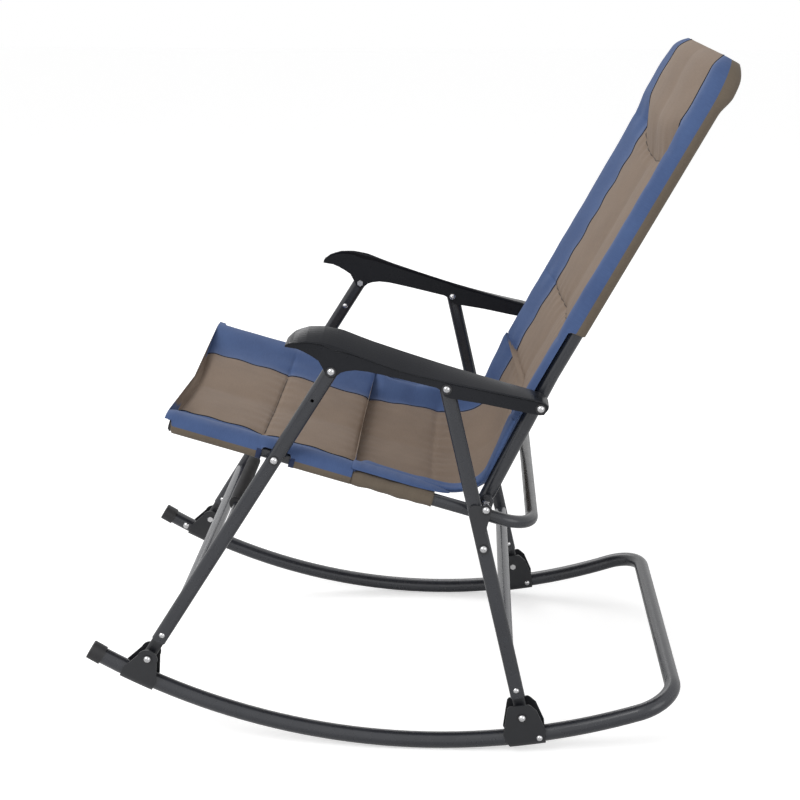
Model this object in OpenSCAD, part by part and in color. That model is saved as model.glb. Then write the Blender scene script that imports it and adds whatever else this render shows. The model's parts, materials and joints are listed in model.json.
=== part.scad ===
// Folding padded armchair on curved rocking runners.
// Sitter faces -Y, +Z is up, X is lateral. The origin is on the floor, midway between the runners,
// under the lowest point of their arc.

/* [Stance] */
// Distance from the middle of the chair to the middle of each leg and runner
leg_x = 278; // [240:1:320]
// Radius of the runner's centre line
runner_r = 985; // [850:5:1200]
// Where the front feet stand on the runner's arc, degrees ahead of the lowest point
front_foot_deg = 26.3; // [24.5:0.1:27.5]
// Where the rear feet stand on the runner's arc, degrees behind the lowest point
rear_foot_deg = 9.05; // [8:0.05:9.8]
// Height of the front foot pivots above the runner's centre line
front_foot_rise = 36; // [32:0.5:42]
// Height of the rear foot pivots above the runner's centre line
rear_foot_rise = 37.5; // [33:0.5:44]

/* [Pivots] */
// Front pivot of the arm, behind the lowest point of the runners
arm_front_y = -134.1; // [-145:0.1:-125]
// Height of the arm's front pivot
arm_front_z = 605.6; // [595:0.1:615]
// Middle pivot of the arm, behind the lowest point of the runners
arm_mid_y = 29.7; // [22:0.1:38]
// Height of the arm's middle pivot
arm_mid_z = 582.3; // [578:0.1:586]
// Rear pivot of the arm, behind the lowest point of the runners
arm_rear_y = 163.1; // [155:0.1:172]
// Height of the arm's rear pivot
arm_rear_z = 555.1; // [548:0.1:562]
// Hip pivot between back, seat and fold link, behind the lowest point of the runners
hip_y = 88.5; // [82:0.1:95]
// Height of the hip pivot
hip_z = 398.5; // [390:0.1:408]
// Distance from the front foot pivot up the leg to the seat pivot
seat_pivot_up = 379.3; // [365:0.1:392]
// Distance from the rear foot pivot up the leg to the fold link's pivot
link_pivot_up = 282.5; // [272:0.1:292]

/* [Runners] */
// Outer diameter of the runner and hoop tube
runner_d = 25; // [23:0.5:27]
// Wall of the runner tube
runner_wall = 1.6; // [1.2:0.1:2.2]
// Front end of the runner tube, degrees ahead of the lowest point
runner_front_deg = 31.1; // [30.3:0.1:33]
// Joint between runner and hoop, degrees behind the lowest point
hoop_joint_deg = 12.6; // [12.2:0.1:14]
// Where the hoop's corner starts, degrees behind the lowest point
hoop_corner_deg = 19.35; // [17:0.05:22]
// Bend radius of the hoop's corners
hoop_bend_r = 60; // [45:1:80]
// Length of the hoop's spigot inside the runner
spigot_len = 30; // [20:1:34]
// Wall of the runner's end cap
cap_wall = 1.8; // [1.2:0.1:3]
// Length of the cap over the tube
cap_len = 20; // [12:1:26]
// Diameter of the stop rivet's head
stop_head_d = 11; // [8:0.5:13]

/* [Brackets] */
// Sheet of the foot brackets
bracket_t = 2.5; // [2:0.1:3]
// Length of the rear bracket on the runner
rear_bracket_len = 64; // [58:1:70]
// Height of the rear bracket's ears above the runner's centre line
rear_bracket_h = 59; // [56:0.5:64]
// Length of the front bracket on the runner
front_bracket_len = 54; // [48:1:60]
// Radius of the front bracket's rounded ear tops
front_ear_r = 15.5; // [13:0.5:18]
// Distance from the rear foot to its bracket screw, along the runner
bracket_screw_along = 22; // [20:0.5:24]

/* [Legs] */
// Width of the flat-oval leg tube in side view
leg_w = 22; // [20:0.5:24]
// Lateral thickness of the leg tube
leg_t = 15; // [13:0.5:16]
// Wall of the leg tube
leg_wall = 1.2; // [1:0.1:1.6]
// Start of the leg tube above the foot pivot
leg_start = 30; // [24:0.5:36]
// How far the leg tube runs past its top pivot
leg_over = 13; // [10:0.5:14]
// How far the foot tongue reaches into the leg tube
tongue_in = 44; // [30:1:60]
// Diameter of the tongue's round boss at the foot pivot
boss_d = 18; // [15:0.5:20]
// Distance from the foot pivot to the tongue screw
tongue_screw_up = 43; // [38:0.5:50]
// Outer diameter of the cross-bars
bar_d = 20; // [16:0.5:22]
// Wall of the cross-bars
bar_wall = 1.2; // [1:0.1:1.6]
// Height of the front cross-bar up the leg from the foot pivot
front_bar_up = 114; // [100:1:130]
// Height of the rear cross-bar up the leg from the foot pivot
rear_bar_up = 112; // [100:1:130]
// Height of the carry bar up the front leg from the foot pivot
carry_up = 211; // [196:1:222]
// Diameter of the carry bar
carry_bar_d = 8; // [6:0.5:10]
// Outer diameter of the sleeve on the carry bar
carry_grip_d = 22; // [18:0.5:24]
// Length of the sleeve on the carry bar
carry_grip_len = 206; // [160:2:240]
// Distance of the upper inner screw below the arm's front pivot
upper_screw_down = 53; // [40:1:65]

/* [Bolts] */
// Diameter of the pivot bolts
bolt_d = 8; // [6:0.5:8]
// Diameter of the domed bolt heads
head_d = 11; // [10:0.2:12]
// Height of the domed bolt heads
head_h = 3.2; // [2.4:0.1:4]
// Diameter of the washers under the heads
washer_d = 15; // [13:0.2:16]
// Thickness of the washers
washer_t = 0.9; // [0.6:0.1:1.2]
// Diameter of the fixed screws
screw_d = 5; // [4:0.5:6]
// Diameter of the fixed screws' heads
screw_head_d = 9; // [8:0.2:10]
// Height of the fixed screws' heads
screw_head_h = 2.4; // [1.8:0.1:3]
// Diameter of the spacer collars on the bolts
collar_d = 13; // [11:0.5:14]

/* [Armrests] */
// Clear width of the channel under the arm
arm_channel_w = 24.5; // [22:0.5:27]
// Play between the leg's outer face and the arm's outer flange
arm_play = 1.5; // [1:0.1:2.5]
// Wall of the arm's flanges
arm_wall = 3.5; // [2.5:0.1:4.5]
// Thickness of the arm's top
arm_top_t = 3; // [2.5:0.1:3.2]
// Height of the arm's front crest above the line through its end pivots
arm_crest_h = 56; // [50:0.5:62]
// Overhang of the arm's top past its outer flange
arm_lip = 2.5; // [1:0.1:4]
// Drop of the arm's lugs below its pivots
arm_lug_drop = 10; // [9:0.5:12]

/* [Back frame] */
// Outer diameter of the back tube
back_d = 22; // [20:0.5:23]
// Wall of the back tube
back_wall = 1.2; // [1:0.1:1.6]
// Length of the back tube above the hip pivot
back_len = 693; // [650:1:720]
// Rearward bend of the back tube above the arms, degrees
back_kink_deg = 2.6; // [0.5:0.1:5]
// Height of that bend above the hip pivot
back_kink_up = 212; // [205:1:240]
// Bend radius of the back tube's top corners
back_bend_r = 60; // [45:1:75]
// How far the back tube runs below the hip pivot
back_tail = 13; // [11:0.5:14]

/* [Seat frame] */
// Outer diameter of the seat tube
seat_d = 19; // [17:0.5:20]
// Wall of the seat tube
seat_wall = 1.2; // [1:0.1:1.6]
// Room for the pad's sleeve between leg and seat rail
sleeve_room = 3.5; // [3:0.1:5]
// Play between seat rail and back tube
hip_play = 1; // [0.5:0.1:3]
// Height of the hip pivot above the seat rail's centre line
hip_lug_h = 18; // [16:0.5:22]
// Sheet of the hinge lug on the seat rail
lug_t = 3; // [2:0.1:4]
// Width of the hinge lug
lug_w = 22; // [18:0.5:26]
// Length of the seat rails in front of the hip pivot
seat_len = 474; // [440:1:490]
// Distance of the seat's rear bar behind the hip pivot
seat_tail = 78; // [68:1:90]
// Bend radius of the seat tube's rear corners
seat_bend_r = 48; // [40:1:58]

/* [Fold links] */
// Sheet of the fold links
link_t = 3; // [2:0.1:3.5]
// Width of the fold links
link_w = 18; // [16:0.5:20]
// Radius of the lobe round the link's hip end
link_lobe_r = 8.6; // [8:0.1:10]

/* [Pads] */
// Half width of the back pad
back_pad_half_w = 250; // [249.8:0.1:256]
// Distance from the middle to the lengthwise seam of the seat pad
seat_seam_x = 140; // [110:1:160]
// Distance from the middle to the lengthwise seam of the back pad
back_seam_x = 150; // [120:1:170]
// Front edge of the seat pad in front of the hip pivot
seat_pad_len = 486; // [478:1:500]
// Top edge of the back pad above the hip pivot
back_pad_len = 710; // [708:1:725]
// Cross seam where the seat pad turns into the hip fold
hip_seam_seat = 200; // [185:1:215]
// Cross seam where the back pad turns into the hip fold
hip_seam_back = 128; // [120:1:150]
// Cross seam across the front half of the seat
seat_seam_s = 348; // [330:1:385]
// Cross seam across the lower back
back_seam_s = 262; // [245:1:300]
// Seam under the head pillow
pillow_seam_s = 566; // [545:1:590]
// Height of the side rolls above the tube's centre line
roll_h = 19; // [16:0.5:22]
// Height of the seams above the tube's centre line
seam_h = 2; // [0:0.5:5]
// Sag of the pad's middle below the seams
sag = 9; // [4:0.5:12]
// Thickness of the pad in its middle
pad_t = 26; // [20:0.5:30]
// Wall of the fabric sleeve round the tubes
sleeve_t = 2.5; // [2:0.1:2.6]
// Depth of the sewn channels
channel_depth = 7; // [3:0.5:9]
// Half width of the sewn channels
channel_w = 9; // [6:0.5:12]
// Start of the sleeve on the seat rail, in front of the hip pivot
seat_sleeve_s = 76; // [60:1:100]
// Start of the sleeve on the back tube, above the hip pivot
back_sleeve_s = 258; // [245:1:280]
// Half length of the sleeve's cut-out at the front leg
leg_notch = 22; // [19:0.5:28]

/* [Hidden] */

// Clearances
pivot_play = 0.05; // radial, bolt in a turning hole
hole_play = 0.1; // radial, bolt in a fixed hole
side_play = 0.5; // between parts that turn beside each other
fit_play = 0.3; // between fixed parts that sit round or in each other
soft_play = 0.5; // between fabric and tube
over = 1; // overrun of cuts
fine = 64;
round = 32;

// Side-plane points are [y, z]
function unit(v) = v / norm(v);
function turn(v, a) = [v.x * cos(a) - v.y * sin(a), v.x * sin(a) + v.y * cos(a)];
function bearing(v) = atan2(v.y, v.x);
function meet(p, u, q, v) = p + u * ((q.x - p.x) * v.y - (q.y - p.y) * v.x) / (u.x * v.y - u.y * v.x);
function mix(a, b, t) = a + (b - a) * t;
function clamp01(t) = max(0, min(1, t));
function ease(t) = let(c = clamp01(t)) c * c * (3 - 2 * c);

arc_z = runner_r + runner_d / 2;
function on_arc(deg, rise = 0) =
    [(runner_r - rise) * sin(deg), arc_z - (runner_r - rise) * cos(deg)];

front_foot = on_arc(-front_foot_deg, front_foot_rise);
rear_foot = on_arc(rear_foot_deg, rear_foot_rise);
arm_front = [arm_front_y, arm_front_z];
arm_mid = [arm_mid_y, arm_mid_z];
arm_rear = [arm_rear_y, arm_rear_z];
hip = [hip_y, hip_z];
front_dir = unit(arm_front - front_foot);
rear_dir = unit(arm_mid - rear_foot);
seat_pivot = front_foot + front_dir * seat_pivot_up;
link_pivot = rear_foot + rear_dir * link_pivot_up;

// The seat rail passes through the seat pivot and below the hip pivot
hip_reach = norm(seat_pivot - hip);
seat_dir = turn(unit(seat_pivot - hip), -asin(hip_lug_h / hip_reach));
seat_up = turn(seat_dir, -90);
seat_origin = hip - seat_up * hip_lug_h;
seat_angle = bearing(-seat_dir);
seat_pivot_s = sqrt(hip_reach * hip_reach - hip_lug_h * hip_lug_h);
back_dir = unit(arm_rear - hip);
back_angle = bearing(back_dir);
kink_point = hip + back_dir * back_kink_up;
upper_dir = turn(back_dir, -back_kink_deg);
upper_angle = bearing(upper_dir);
upper_len = back_len - back_kink_up;

// Lateral layers, from the outside in
leg_out = leg_x + leg_t / 2;
leg_in = leg_x - leg_t / 2;
arm_in_face = leg_out + arm_play;
arm_out = arm_in_face + arm_wall;
arm_inner_face = arm_in_face - arm_channel_w;
arm_inner = arm_inner_face - arm_wall;
link_in = leg_out + side_play;
link_out = link_in + link_t;
seat_x = leg_in - sleeve_room - seat_d / 2;
seat_rail_out = seat_x + seat_d / 2;
back_x = seat_x - seat_d / 2 - hip_play - back_d / 2;
bracket_half = runner_d / 2 + fit_play;
bracket_out = bracket_half + bracket_t;

// Placing helpers
module both() {
    children();
    mirror([1, 0, 0]) children();
}
module at_side(p, a) {
    translate([0, p.x, p.y]) rotate([a, 0, 0]) children();
}
module slab(x0, x1) {
    translate([x0, 0, 0]) rotate([90, 0, 90]) linear_extrude(x1 - x0) children();
}
module across(p, x0, x1, d) {
    translate([x0, p.x, p.y]) rotate([0, 90, 0]) cylinder(d = d, h = x1 - x0, $fn = round);
}
module on_runner(deg) {
    translate([0, 0, arc_z]) rotate([deg, 0, 0]) translate([0, 0, -runner_r]) children();
}
module runner_arc(x, deg0, deg1, d, segments = 360) {
    translate([x, 0, arc_z]) rotate([0, 90, 0]) rotate([0, 0, deg0])
        rotate_extrude(angle = deg1 - deg0, $fn = segments) translate([runner_r, 0])
            circle(d = d, $fn = round);
}

// Fasteners, lying along X with the head outside
module dome(x, p, d, h, side = 1) {
    ball = (d * d / 4 + h * h) / (2 * h);
    slot = d * 0.1;
    translate([x, p.x, p.y]) rotate([0, 90 * side, 0]) difference() {
        intersection() {
            cylinder(d = d, h = h, $fn = round);
            translate([0, 0, h - ball]) sphere(r = ball, $fn = fine);
        }
        for (a = [0, 90]) rotate([0, 0, a]) translate([-d / 4, -slot / 2, h * 0.55])
            cube([d / 2, slot, h]);
    }
}
module washer(x, p) {
    translate([x, p.x, p.y]) rotate([0, 90, 0]) difference() {
        cylinder(d = washer_d, h = washer_t, $fn = round);
        translate([0, 0, -over]) cylinder(d = bolt_d + 2 * hole_play, h = washer_t + 2 * over, $fn = round);
    }
}
// Headed bolt from the outer face x0 through the washer, down to x1
module bolt(p, x0, x1) {
    dome(x0 + washer_t, p, head_d, head_h);
    across(p, x1, x0 + washer_t, bolt_d);
}
module screw(p, x0, x1) {
    dome(x0, p, screw_head_d, screw_head_h);
    across(p, x1, x0, screw_d);
    dome(x1, p, screw_head_d, screw_head_h, -1);
}
module nut(p, x, h) {
    translate([x, p.x, p.y]) rotate([0, 90, 0]) cylinder(d = head_d, h = h, $fn = 6);
}

// Runners
module runner() {
    color("#2b2d33") difference() {
        runner_arc(leg_x, -runner_front_deg, hoop_joint_deg, runner_d);
        runner_arc(leg_x, -runner_front_deg - over, hoop_joint_deg + over, runner_d - 2 * runner_wall);
        across(on_arc(stop_deg), leg_x - runner_d, leg_x, screw_d + 2 * hole_play);
        across(screw_point, leg_x - runner_d, leg_x + runner_d, screw_d + 2 * hole_play);
    }
}
module runner_left() mirror([1, 0, 0]) runner();
module runner_right() runner();

arc_deg = 180 / PI / runner_r;
screw_point = on_arc(rear_foot_deg + bracket_screw_along * arc_deg);
stop_deg = -front_foot_deg - (front_bracket_len * 0.5 + stop_head_d * 0.75) * arc_deg;
spigot_d = runner_d - 2 * runner_wall - 2 * fit_play;

module rear_hoop() {
    corner = on_arc(hoop_corner_deg);
    half = leg_x - hoop_bend_r;
    color("#2b2d33") {
        both() {
            runner_arc(leg_x, hoop_joint_deg, hoop_corner_deg, runner_d);
            runner_arc(leg_x, hoop_joint_deg - spigot_len * arc_deg, hoop_joint_deg + over * arc_deg, spigot_d);
            at_side(corner, hoop_corner_deg) translate([half, 0, 0])
                rotate_extrude(angle = 90, $fn = fine) translate([hoop_bend_r, 0])
                    circle(d = runner_d, $fn = round);
        }
        at_side(corner, hoop_corner_deg) translate([-half, hoop_bend_r, 0])
            rotate([0, 90, 0]) cylinder(d = runner_d, h = 2 * half, $fn = round);
    }
}

module runner_caps() {
    front = on_arc(-runner_front_deg);
    inner = runner_d + 2 * fit_play;
    color("#17181b") both() at_side(front, -runner_front_deg) translate([leg_x, 0, 0])
        rotate([-90, 0, 0]) difference() {
            union() {
                cylinder(d = inner + 2 * cap_wall, h = cap_len, $fn = round);
                translate([0, 0, -cap_wall]) cylinder(d = inner, h = cap_wall, $fn = round);
                translate([0, 0, -cap_wall]) rotate_extrude($fn = round) {
                    translate([inner / 2, cap_wall]) circle(r = cap_wall, $fn = round);
                }
            }
            translate([0, 0, 0]) cylinder(d = inner, h = cap_len + over, $fn = round);
        }
}

// U-section of the brackets, bent along the runner and trimmed to a side outline
module bracket_shell(deg, len, h) {
    wrap = h + over;
    on_runner(deg) translate([leg_x, 0, runner_r]) rotate([0, 90, 0])
        rotate([0, 0, -len * arc_deg]) rotate_extrude(angle = 2 * len * arc_deg, $fn = 360)
            translate([runner_r, 0]) difference() {
                union() {
                    circle(r = bracket_out, $fn = round);
                    translate([-wrap, -bracket_out]) square([wrap, 2 * bracket_out]);
                }
                circle(r = bracket_half, $fn = round);
                translate([-wrap - over, -bracket_half]) square([wrap + over, 2 * bracket_half]);
            }
}
module bracket_trim(deg) {
    on_runner(deg) slab(leg_x - 2 * bracket_out, leg_x + 2 * bracket_out) children();
}

// Shares of the bracket's length and height, from its lower front corner round
rear_bracket_shares = [
    [-0.36, -0.3], [0.47, -0.3], [0.5, 0.27], [0.37, 0.8], [0.25, 0.96], [0.2, 1], [-0.26, 1],
    [-0.31, 0.95], [-0.5, 0.22]
];
module rear_bracket() {
    screw_at = screw_point;
    color("#1d1e22") difference() {
        intersection() {
            bracket_shell(rear_foot_deg, rear_bracket_len, rear_bracket_h);
            bracket_trim(rear_foot_deg) polygon([
                for (s = rear_bracket_shares) [s.x * rear_bracket_len, s.y * rear_bracket_h]
            ]);
        }
        across(rear_foot, leg_x - 2 * bracket_out, leg_x + 2 * bracket_out, bolt_d + 2 * hole_play);
        across(screw_at, leg_x - 2 * bracket_out, leg_x + 2 * bracket_out, screw_d + 2 * hole_play);
        on_runner(rear_foot_deg) translate([leg_x, -rear_bracket_len * 0.05, -bracket_out - over])
            cylinder(d = screw_d, h = bracket_t + over, $fn = round);
    }
}
module rear_bracket_left() mirror([1, 0, 0]) rear_bracket();
module rear_bracket_right() rear_bracket();

front_saddle_share = 0.2;
module front_bracket() {
    low = bracket_out + over;
    lip = front_foot_rise * front_saddle_share;
    color("#1d1e22") difference() {
        intersection() {
            bracket_shell(-front_foot_deg, front_bracket_len, front_foot_rise + front_ear_r);
            bracket_trim(-front_foot_deg) {
                translate([0, front_foot_rise]) circle(r = front_ear_r, $fn = fine);
                polygon([
                    [-front_bracket_len / 2, -low], [front_bracket_len / 2, -low],
                    [front_bracket_len / 2, lip], [front_ear_r, front_foot_rise],
                    [-front_ear_r, front_foot_rise], [-front_bracket_len / 2, lip]
                ]);
            }
        }
        across(front_foot, leg_x - 2 * bracket_out, leg_x + 2 * bracket_out, bolt_d + 2 * hole_play);
    }
}
module front_bracket_left() mirror([1, 0, 0]) front_bracket();
module front_bracket_right() front_bracket();

module bracket_screws() {
    color("silver") both() screw(screw_point, leg_x + bracket_out, leg_x - bracket_out);
}
module foot_bolts(p) {
    color("silver") both() {
        bolt(p, leg_x + bracket_out, leg_x - bracket_out);
        nut(p, leg_x - bracket_out - head_h, head_h);
    }
}
module rear_foot_bolts() foot_bolts(rear_foot);
module front_foot_bolts() foot_bolts(front_foot);
module rear_foot_washers() color("#17181b") both() washer(leg_x + bracket_out, rear_foot);
module front_foot_washers() color("#17181b") both() washer(leg_x + bracket_out, front_foot);

module stop_rivets() {
    p = on_arc(stop_deg);
    face = leg_x - runner_d / 2 - fit_play;
    color("silver") both() {
        dome(face, p, stop_head_d, screw_head_h, -1);
        across(p, face, face + fit_play + 2 * runner_wall, screw_d);
    }
}

// Legs
module flat_oval(t, w) {
    square([t, w - t], center = true);
    for (s = [-1, 1]) translate([0, s * (w - t) / 2]) circle(d = t, $fn = round);
}
// The top end is cut round about its pivot
module leg(foot, dir, len, holes) {
    inner_t = leg_t - 2 * leg_wall;
    inner_w = leg_w - 2 * leg_wall;
    tall = len + leg_over - leg_start;
    color("#33363d") difference() {
        intersection() {
            at_side(foot, bearing(dir)) translate([leg_x, leg_start, 0]) rotate([-90, 0, 0])
                difference() {
                    linear_extrude(tall) flat_oval(leg_t, leg_w);
                    translate([0, 0, -over]) linear_extrude(tall + 2 * over) flat_oval(inner_t, inner_w);
                }
            at_side(foot, bearing(dir)) slab(leg_in - over, leg_out + over) {
                translate([leg_start - over, -leg_w]) square([len - leg_start + over, 2 * leg_w]);
                translate([len, 0]) circle(r = leg_w / 2 + leg_round_play, $fn = fine);
            }
        }
        for (h = holes) across(foot + dir * h[0], leg_in - over, leg_out + over, h[1]);
    }
}
leg_round_play = 0.1;
turning_hole = bolt_d + 2 * pivot_play;
fixed_hole = bolt_d + 2 * hole_play;
screw_hole = screw_d + 2 * hole_play;
front_len = norm(arm_front - front_foot);
rear_len = norm(arm_mid - rear_foot);
module front_leg() leg(front_foot, front_dir, front_len, [
    [tongue_screw_up, screw_hole], [seat_pivot_up, fixed_hole], [front_len, turning_hole],
    [front_len - upper_screw_down, screw_hole]
]);
module rear_leg() leg(rear_foot, rear_dir, rear_len, [
    [tongue_screw_up, screw_hole], [link_pivot_up, fixed_hole], [rear_len, fixed_hole]
]);
module front_leg_left() mirror([1, 0, 0]) front_leg();
module front_leg_right() front_leg();
module rear_leg_left() mirror([1, 0, 0]) rear_leg();
module rear_leg_right() rear_leg();

module tongue(foot, dir) {
    slim_t = leg_t - 2 * leg_wall - 2 * fit_play;
    slim_w = leg_w - 2 * leg_wall - 2 * fit_play;
    boss_half = bracket_half - side_play;
    color("#1d1e22") difference() {
        union() {
            across(foot, leg_x - boss_half, leg_x + boss_half, boss_d);
            at_side(foot, bearing(dir)) translate([leg_x, 0, 0]) rotate([-90, 0, 0])
                linear_extrude(leg_start + tongue_in) flat_oval(slim_t, slim_w);
        }
        across(foot, leg_x - boss_half - over, leg_x + boss_half + over, turning_hole);
        across(foot + dir * tongue_screw_up, leg_in - over, leg_out + over, screw_hole);
    }
}
module front_tongues() both() tongue(front_foot, front_dir);
module rear_tongues() both() tongue(rear_foot, rear_dir);
module front_tongue_screws() color("silver") both()
    screw(front_foot + front_dir * tongue_screw_up, leg_out, leg_in);
module rear_tongue_screws() color("silver") both()
    screw(rear_foot + rear_dir * tongue_screw_up, leg_out, leg_in);
module upper_screws() {
    p = front_foot + front_dir * (front_len - upper_screw_down);
    color("silver") both() {
        dome(leg_in, p, screw_head_d, screw_head_h, -1);
        across(p, leg_in, leg_in + 2 * leg_wall, screw_d);
    }
}

module cross_bar(p, d) {
    color("#4a4d54") difference() {
        across(p, -leg_in, leg_in, d);
        across(p, -leg_in - over, leg_in + over, d - 2 * bar_wall);
    }
}
module front_cross_bar() cross_bar(front_foot + front_dir * front_bar_up, bar_d);
module rear_cross_bar() cross_bar(rear_foot + rear_dir * rear_bar_up, bar_d);
carry_at = front_foot + front_dir * carry_up;
module carry_bar() color("#4a4d54") across(carry_at, -leg_in, leg_in, carry_bar_d);
module carry_grip() {
    half = carry_grip_len / 2;
    wall = (carry_grip_d - carry_bar_d) / 2 - fit_play;
    color("#17181b") translate([0, carry_at.x, carry_at.y]) rotate([0, 90, 0])
        rotate_extrude($fn = fine) translate([carry_bar_d / 2 + fit_play, 0]) {
            translate([0, -half]) square([wall - fit_play * 4, carry_grip_len]);
            translate([0, -half + wall / 2]) square([wall, carry_grip_len - wall]);
        }
}

// Bolt from the front leg towards the seat rail, which turns on its end
module seat_bolts() {
    color("silver") both() {
        bolt(seat_pivot, leg_out, seat_rail_out + side_play);
        across(seat_pivot, seat_rail_out + side_play, leg_in, collar_d);
    }
}
module seat_bolt_washers() color("#17181b") both() washer(leg_out, seat_pivot);
module link_bolts() {
    tail = min(head_h, leg_in - seat_rail_out - side_play);
    color("silver") both() {
        bolt(link_pivot, link_out + hole_play, leg_in - tail);
        nut(link_pivot, leg_in - tail, tail);
    }
}
module link_bolt_washers() color("#17181b") both() washer(link_out + hole_play, link_pivot);

// Armrests: tables of [share of the pivot span, share of the crest height]
arm_span = norm(arm_rear - arm_front);
arm_dir = unit(arm_rear - arm_front);
arm_angle = bearing(arm_dir);
arm_outer_shares = [
    [-0.232, 0.47], [-0.224, 0.53], [-0.2, 0.6], [-0.143, 0.69], [-0.05, 0.735], [0.043, 0.66],
    [0.166, 0.52], [0.292, 0.39], [0.42, 0.325], [0.55, 0.305], [0.7, 0.275], [0.87, 0.24],
    [0.985, 0.225], [1.02, 0.18], [1.035, 0.08]
];
arm_inner_shares = [
    [-0.232, 0.49], [-0.224, 0.6], [-0.2, 0.76], [-0.139, 0.93], [-0.066, 1], [0.017, 0.99],
    [0.15, 0.84], [0.342, 0.68], [0.53, 0.54], [0.7, 0.43], [0.87, 0.33], [0.985, 0.27],
    [1.02, 0.2], [1.035, 0.09]
];
// Lower edge: shares of span, and of crest height above the lugs or of lug drop below the pivots
arm_lower_shares = [
    [-0.232, 0.44], [-0.2, 0.44], [-0.169, 0.445], [-0.116, 0.357], [-0.066, 0.232],
    [-0.036, 0.02], [-0.02, -0.11], [0, -0.17], [0.022, -0.13], [0.045, 0.02], [0.07, 0.09],
    [0.113, 0.16], [0.176, 0.178], [0.302, 0.143], [0.5, 0.075], [0.525, 0.02], [0.545, -0.11],
    [0.565, -0.14], [0.74, -0.13], [0.9, -0.16], [1.01, -0.17], [1.028, -0.12], [1.035, 0.02]
];
function table(shares, u) = lookup(u, shares) * arm_crest_h;
function smooth_table(shares, u) =
    (table(shares, u - arm_smooth_share) + 2 * table(shares, u) + table(shares, u + arm_smooth_share)) / 4;
arm_smooth_share = 0.012;
function lower_at(u) = let(v = lookup(u, arm_lower_shares))
    v < 0 ? v / arm_lug_share * arm_lug_drop : v * arm_crest_h;
arm_lug_share = 0.18;
arm_ends_share = [-0.232, 1.035];
arm_stations = [
    -0.232, -0.226, -0.215, -0.2, -0.175, -0.14, -0.1, -0.066, -0.036, -0.02, 0, 0.022, 0.045, 0.07,
    0.11, 0.17, 0.24, 0.32, 0.41, 0.5, 0.525, 0.545, 0.57, 0.65, 0.74, 0.82, 0.9, 0.96, 1.0, 1.02, 1.035
];
arm_top_steps = 8;
// Half section of the arm's top: from the outer lip over the crown to the inner lip
function arm_ring(u, grow, floor_drop) = let(
    lo = lower_at(u) - floor_drop,
    top_o = max(smooth_table(arm_outer_shares, u) - grow, lo + fit_play),
    top_i = max(smooth_table(arm_inner_shares, u) - grow, lo + fit_play),
    x_o = grow > 0 ? arm_in_face : arm_out + arm_lip * lip_share(u),
    x_i = grow > 0 ? arm_inner_face : arm_inner - arm_lip * lip_share(u) * arm_in_lip_share,
    wall_o = grow > 0 ? arm_in_face : arm_out,
    wall_i = grow > 0 ? arm_inner_face : arm_inner,
    round_o = (top_o - lo) * arm_round_share
) concat(
    [[wall_o, lo], [wall_o, mix(lo, top_o, arm_under_share)], [x_o, top_o - round_o]],
    [for (i = [0:arm_top_steps]) let(t = i / arm_top_steps)
        [mix(x_o - arm_lip / 4, x_i + arm_lip / 4, t),
         mix(top_o, top_i, t) + arm_crown * 4 * t * (1 - t) * lip_share(u)]],
    [[x_i, top_i - round_o], [wall_i, mix(lo, top_i, arm_under_share)], [wall_i, lo]]
);
arm_round_share = 0.1;
arm_under_share = 0.82;
arm_in_lip_share = 0.8;
arm_crown = arm_top_t / 2;
function lip_share(u) = min(ease((u - arm_ends_share[0]) / 0.08 + 0.25),
    ease((arm_ends_share[1] - u) / 0.06 + 0.25));
// Closed loft over rings of equal length, each ring given as 3D points. Its skin starts halfway along.
module loft(rings) {
    n = len(rings[0]);
    m = len(rings);
    middle = floor(m / 2);
    polyhedron(
        points = [for (r = rings) for (p = r) p],
        faces = concat(
            [for (b = [0:m - 2]) for (i = [0:n - 1]) let(j = (i + 1) % n, k = (b + middle) % (m - 1)) each [
                [k * n + i, (k + 1) * n + i, k * n + j],
                [k * n + j, (k + 1) * n + i, (k + 1) * n + j]
            ]],
            [[for (i = [0:n - 1]) i]],
            [[for (i = [n - 1:-1:0]) (m - 1) * n + i]]
        ),
        convexity = 8
    );
}
module arm_loft(stations, grow, floor_drop) {
    loft([for (u = stations) [for (q = arm_ring(u, grow, floor_drop)) [q.x, u * arm_span, q.y]]]);
}
arm_wall_ends_share = [-0.195, 1.012];
// Height of the channel's ceiling under the arm's top, at share t of the way from its outer edge in
function ceiling_at(u, t) = max(
    mix(smooth_table(arm_outer_shares, u), smooth_table(arm_inner_shares, u), t) - arm_top_t,
    lower_at(u) - over
);
arm_ceiling_shares = [0.17, 0.52];
module armrest() {
    hollow = concat(
        [arm_wall_ends_share[0]],
        [for (u = arm_stations) if (u > arm_wall_ends_share[0] + 0.001 && u < arm_wall_ends_share[1] - 0.001) u],
        [arm_wall_ends_share[1]]
    );
    deep = -2 * arm_lug_drop;
    color("#24262b") difference() {
        at_side(arm_front, arm_angle) arm_loft(arm_stations, 0, 0);
        for (i = [0, 1])
            at_side(arm_front, arm_angle) slab(arm_inner_face, i == 0 ? arm_in_face : leg_x) polygon(concat(
                [for (u = hollow) [u * arm_span, ceiling_at(u, arm_ceiling_shares[i])]],
                [[arm_wall_ends_share[1] * arm_span, deep], [arm_wall_ends_share[0] * arm_span, deep]]
            ));
        for (p = [arm_front, arm_mid, arm_rear])
            across(p, arm_inner - arm_lip - over, arm_out + arm_lip + over, fixed_hole);
    }
}
module armrest_left() mirror([1, 0, 0]) armrest();
module armrest_right() armrest();

module arm_front_bolts() {
    color("silver") both() {
        bolt(arm_front, arm_out, arm_inner - head_h);
        across(arm_front, arm_inner_face, leg_in - side_play, collar_d);
        across(arm_front, leg_out + side_play, arm_in_face, collar_d);
        nut(arm_front, arm_inner - head_h, head_h);
    }
}
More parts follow.
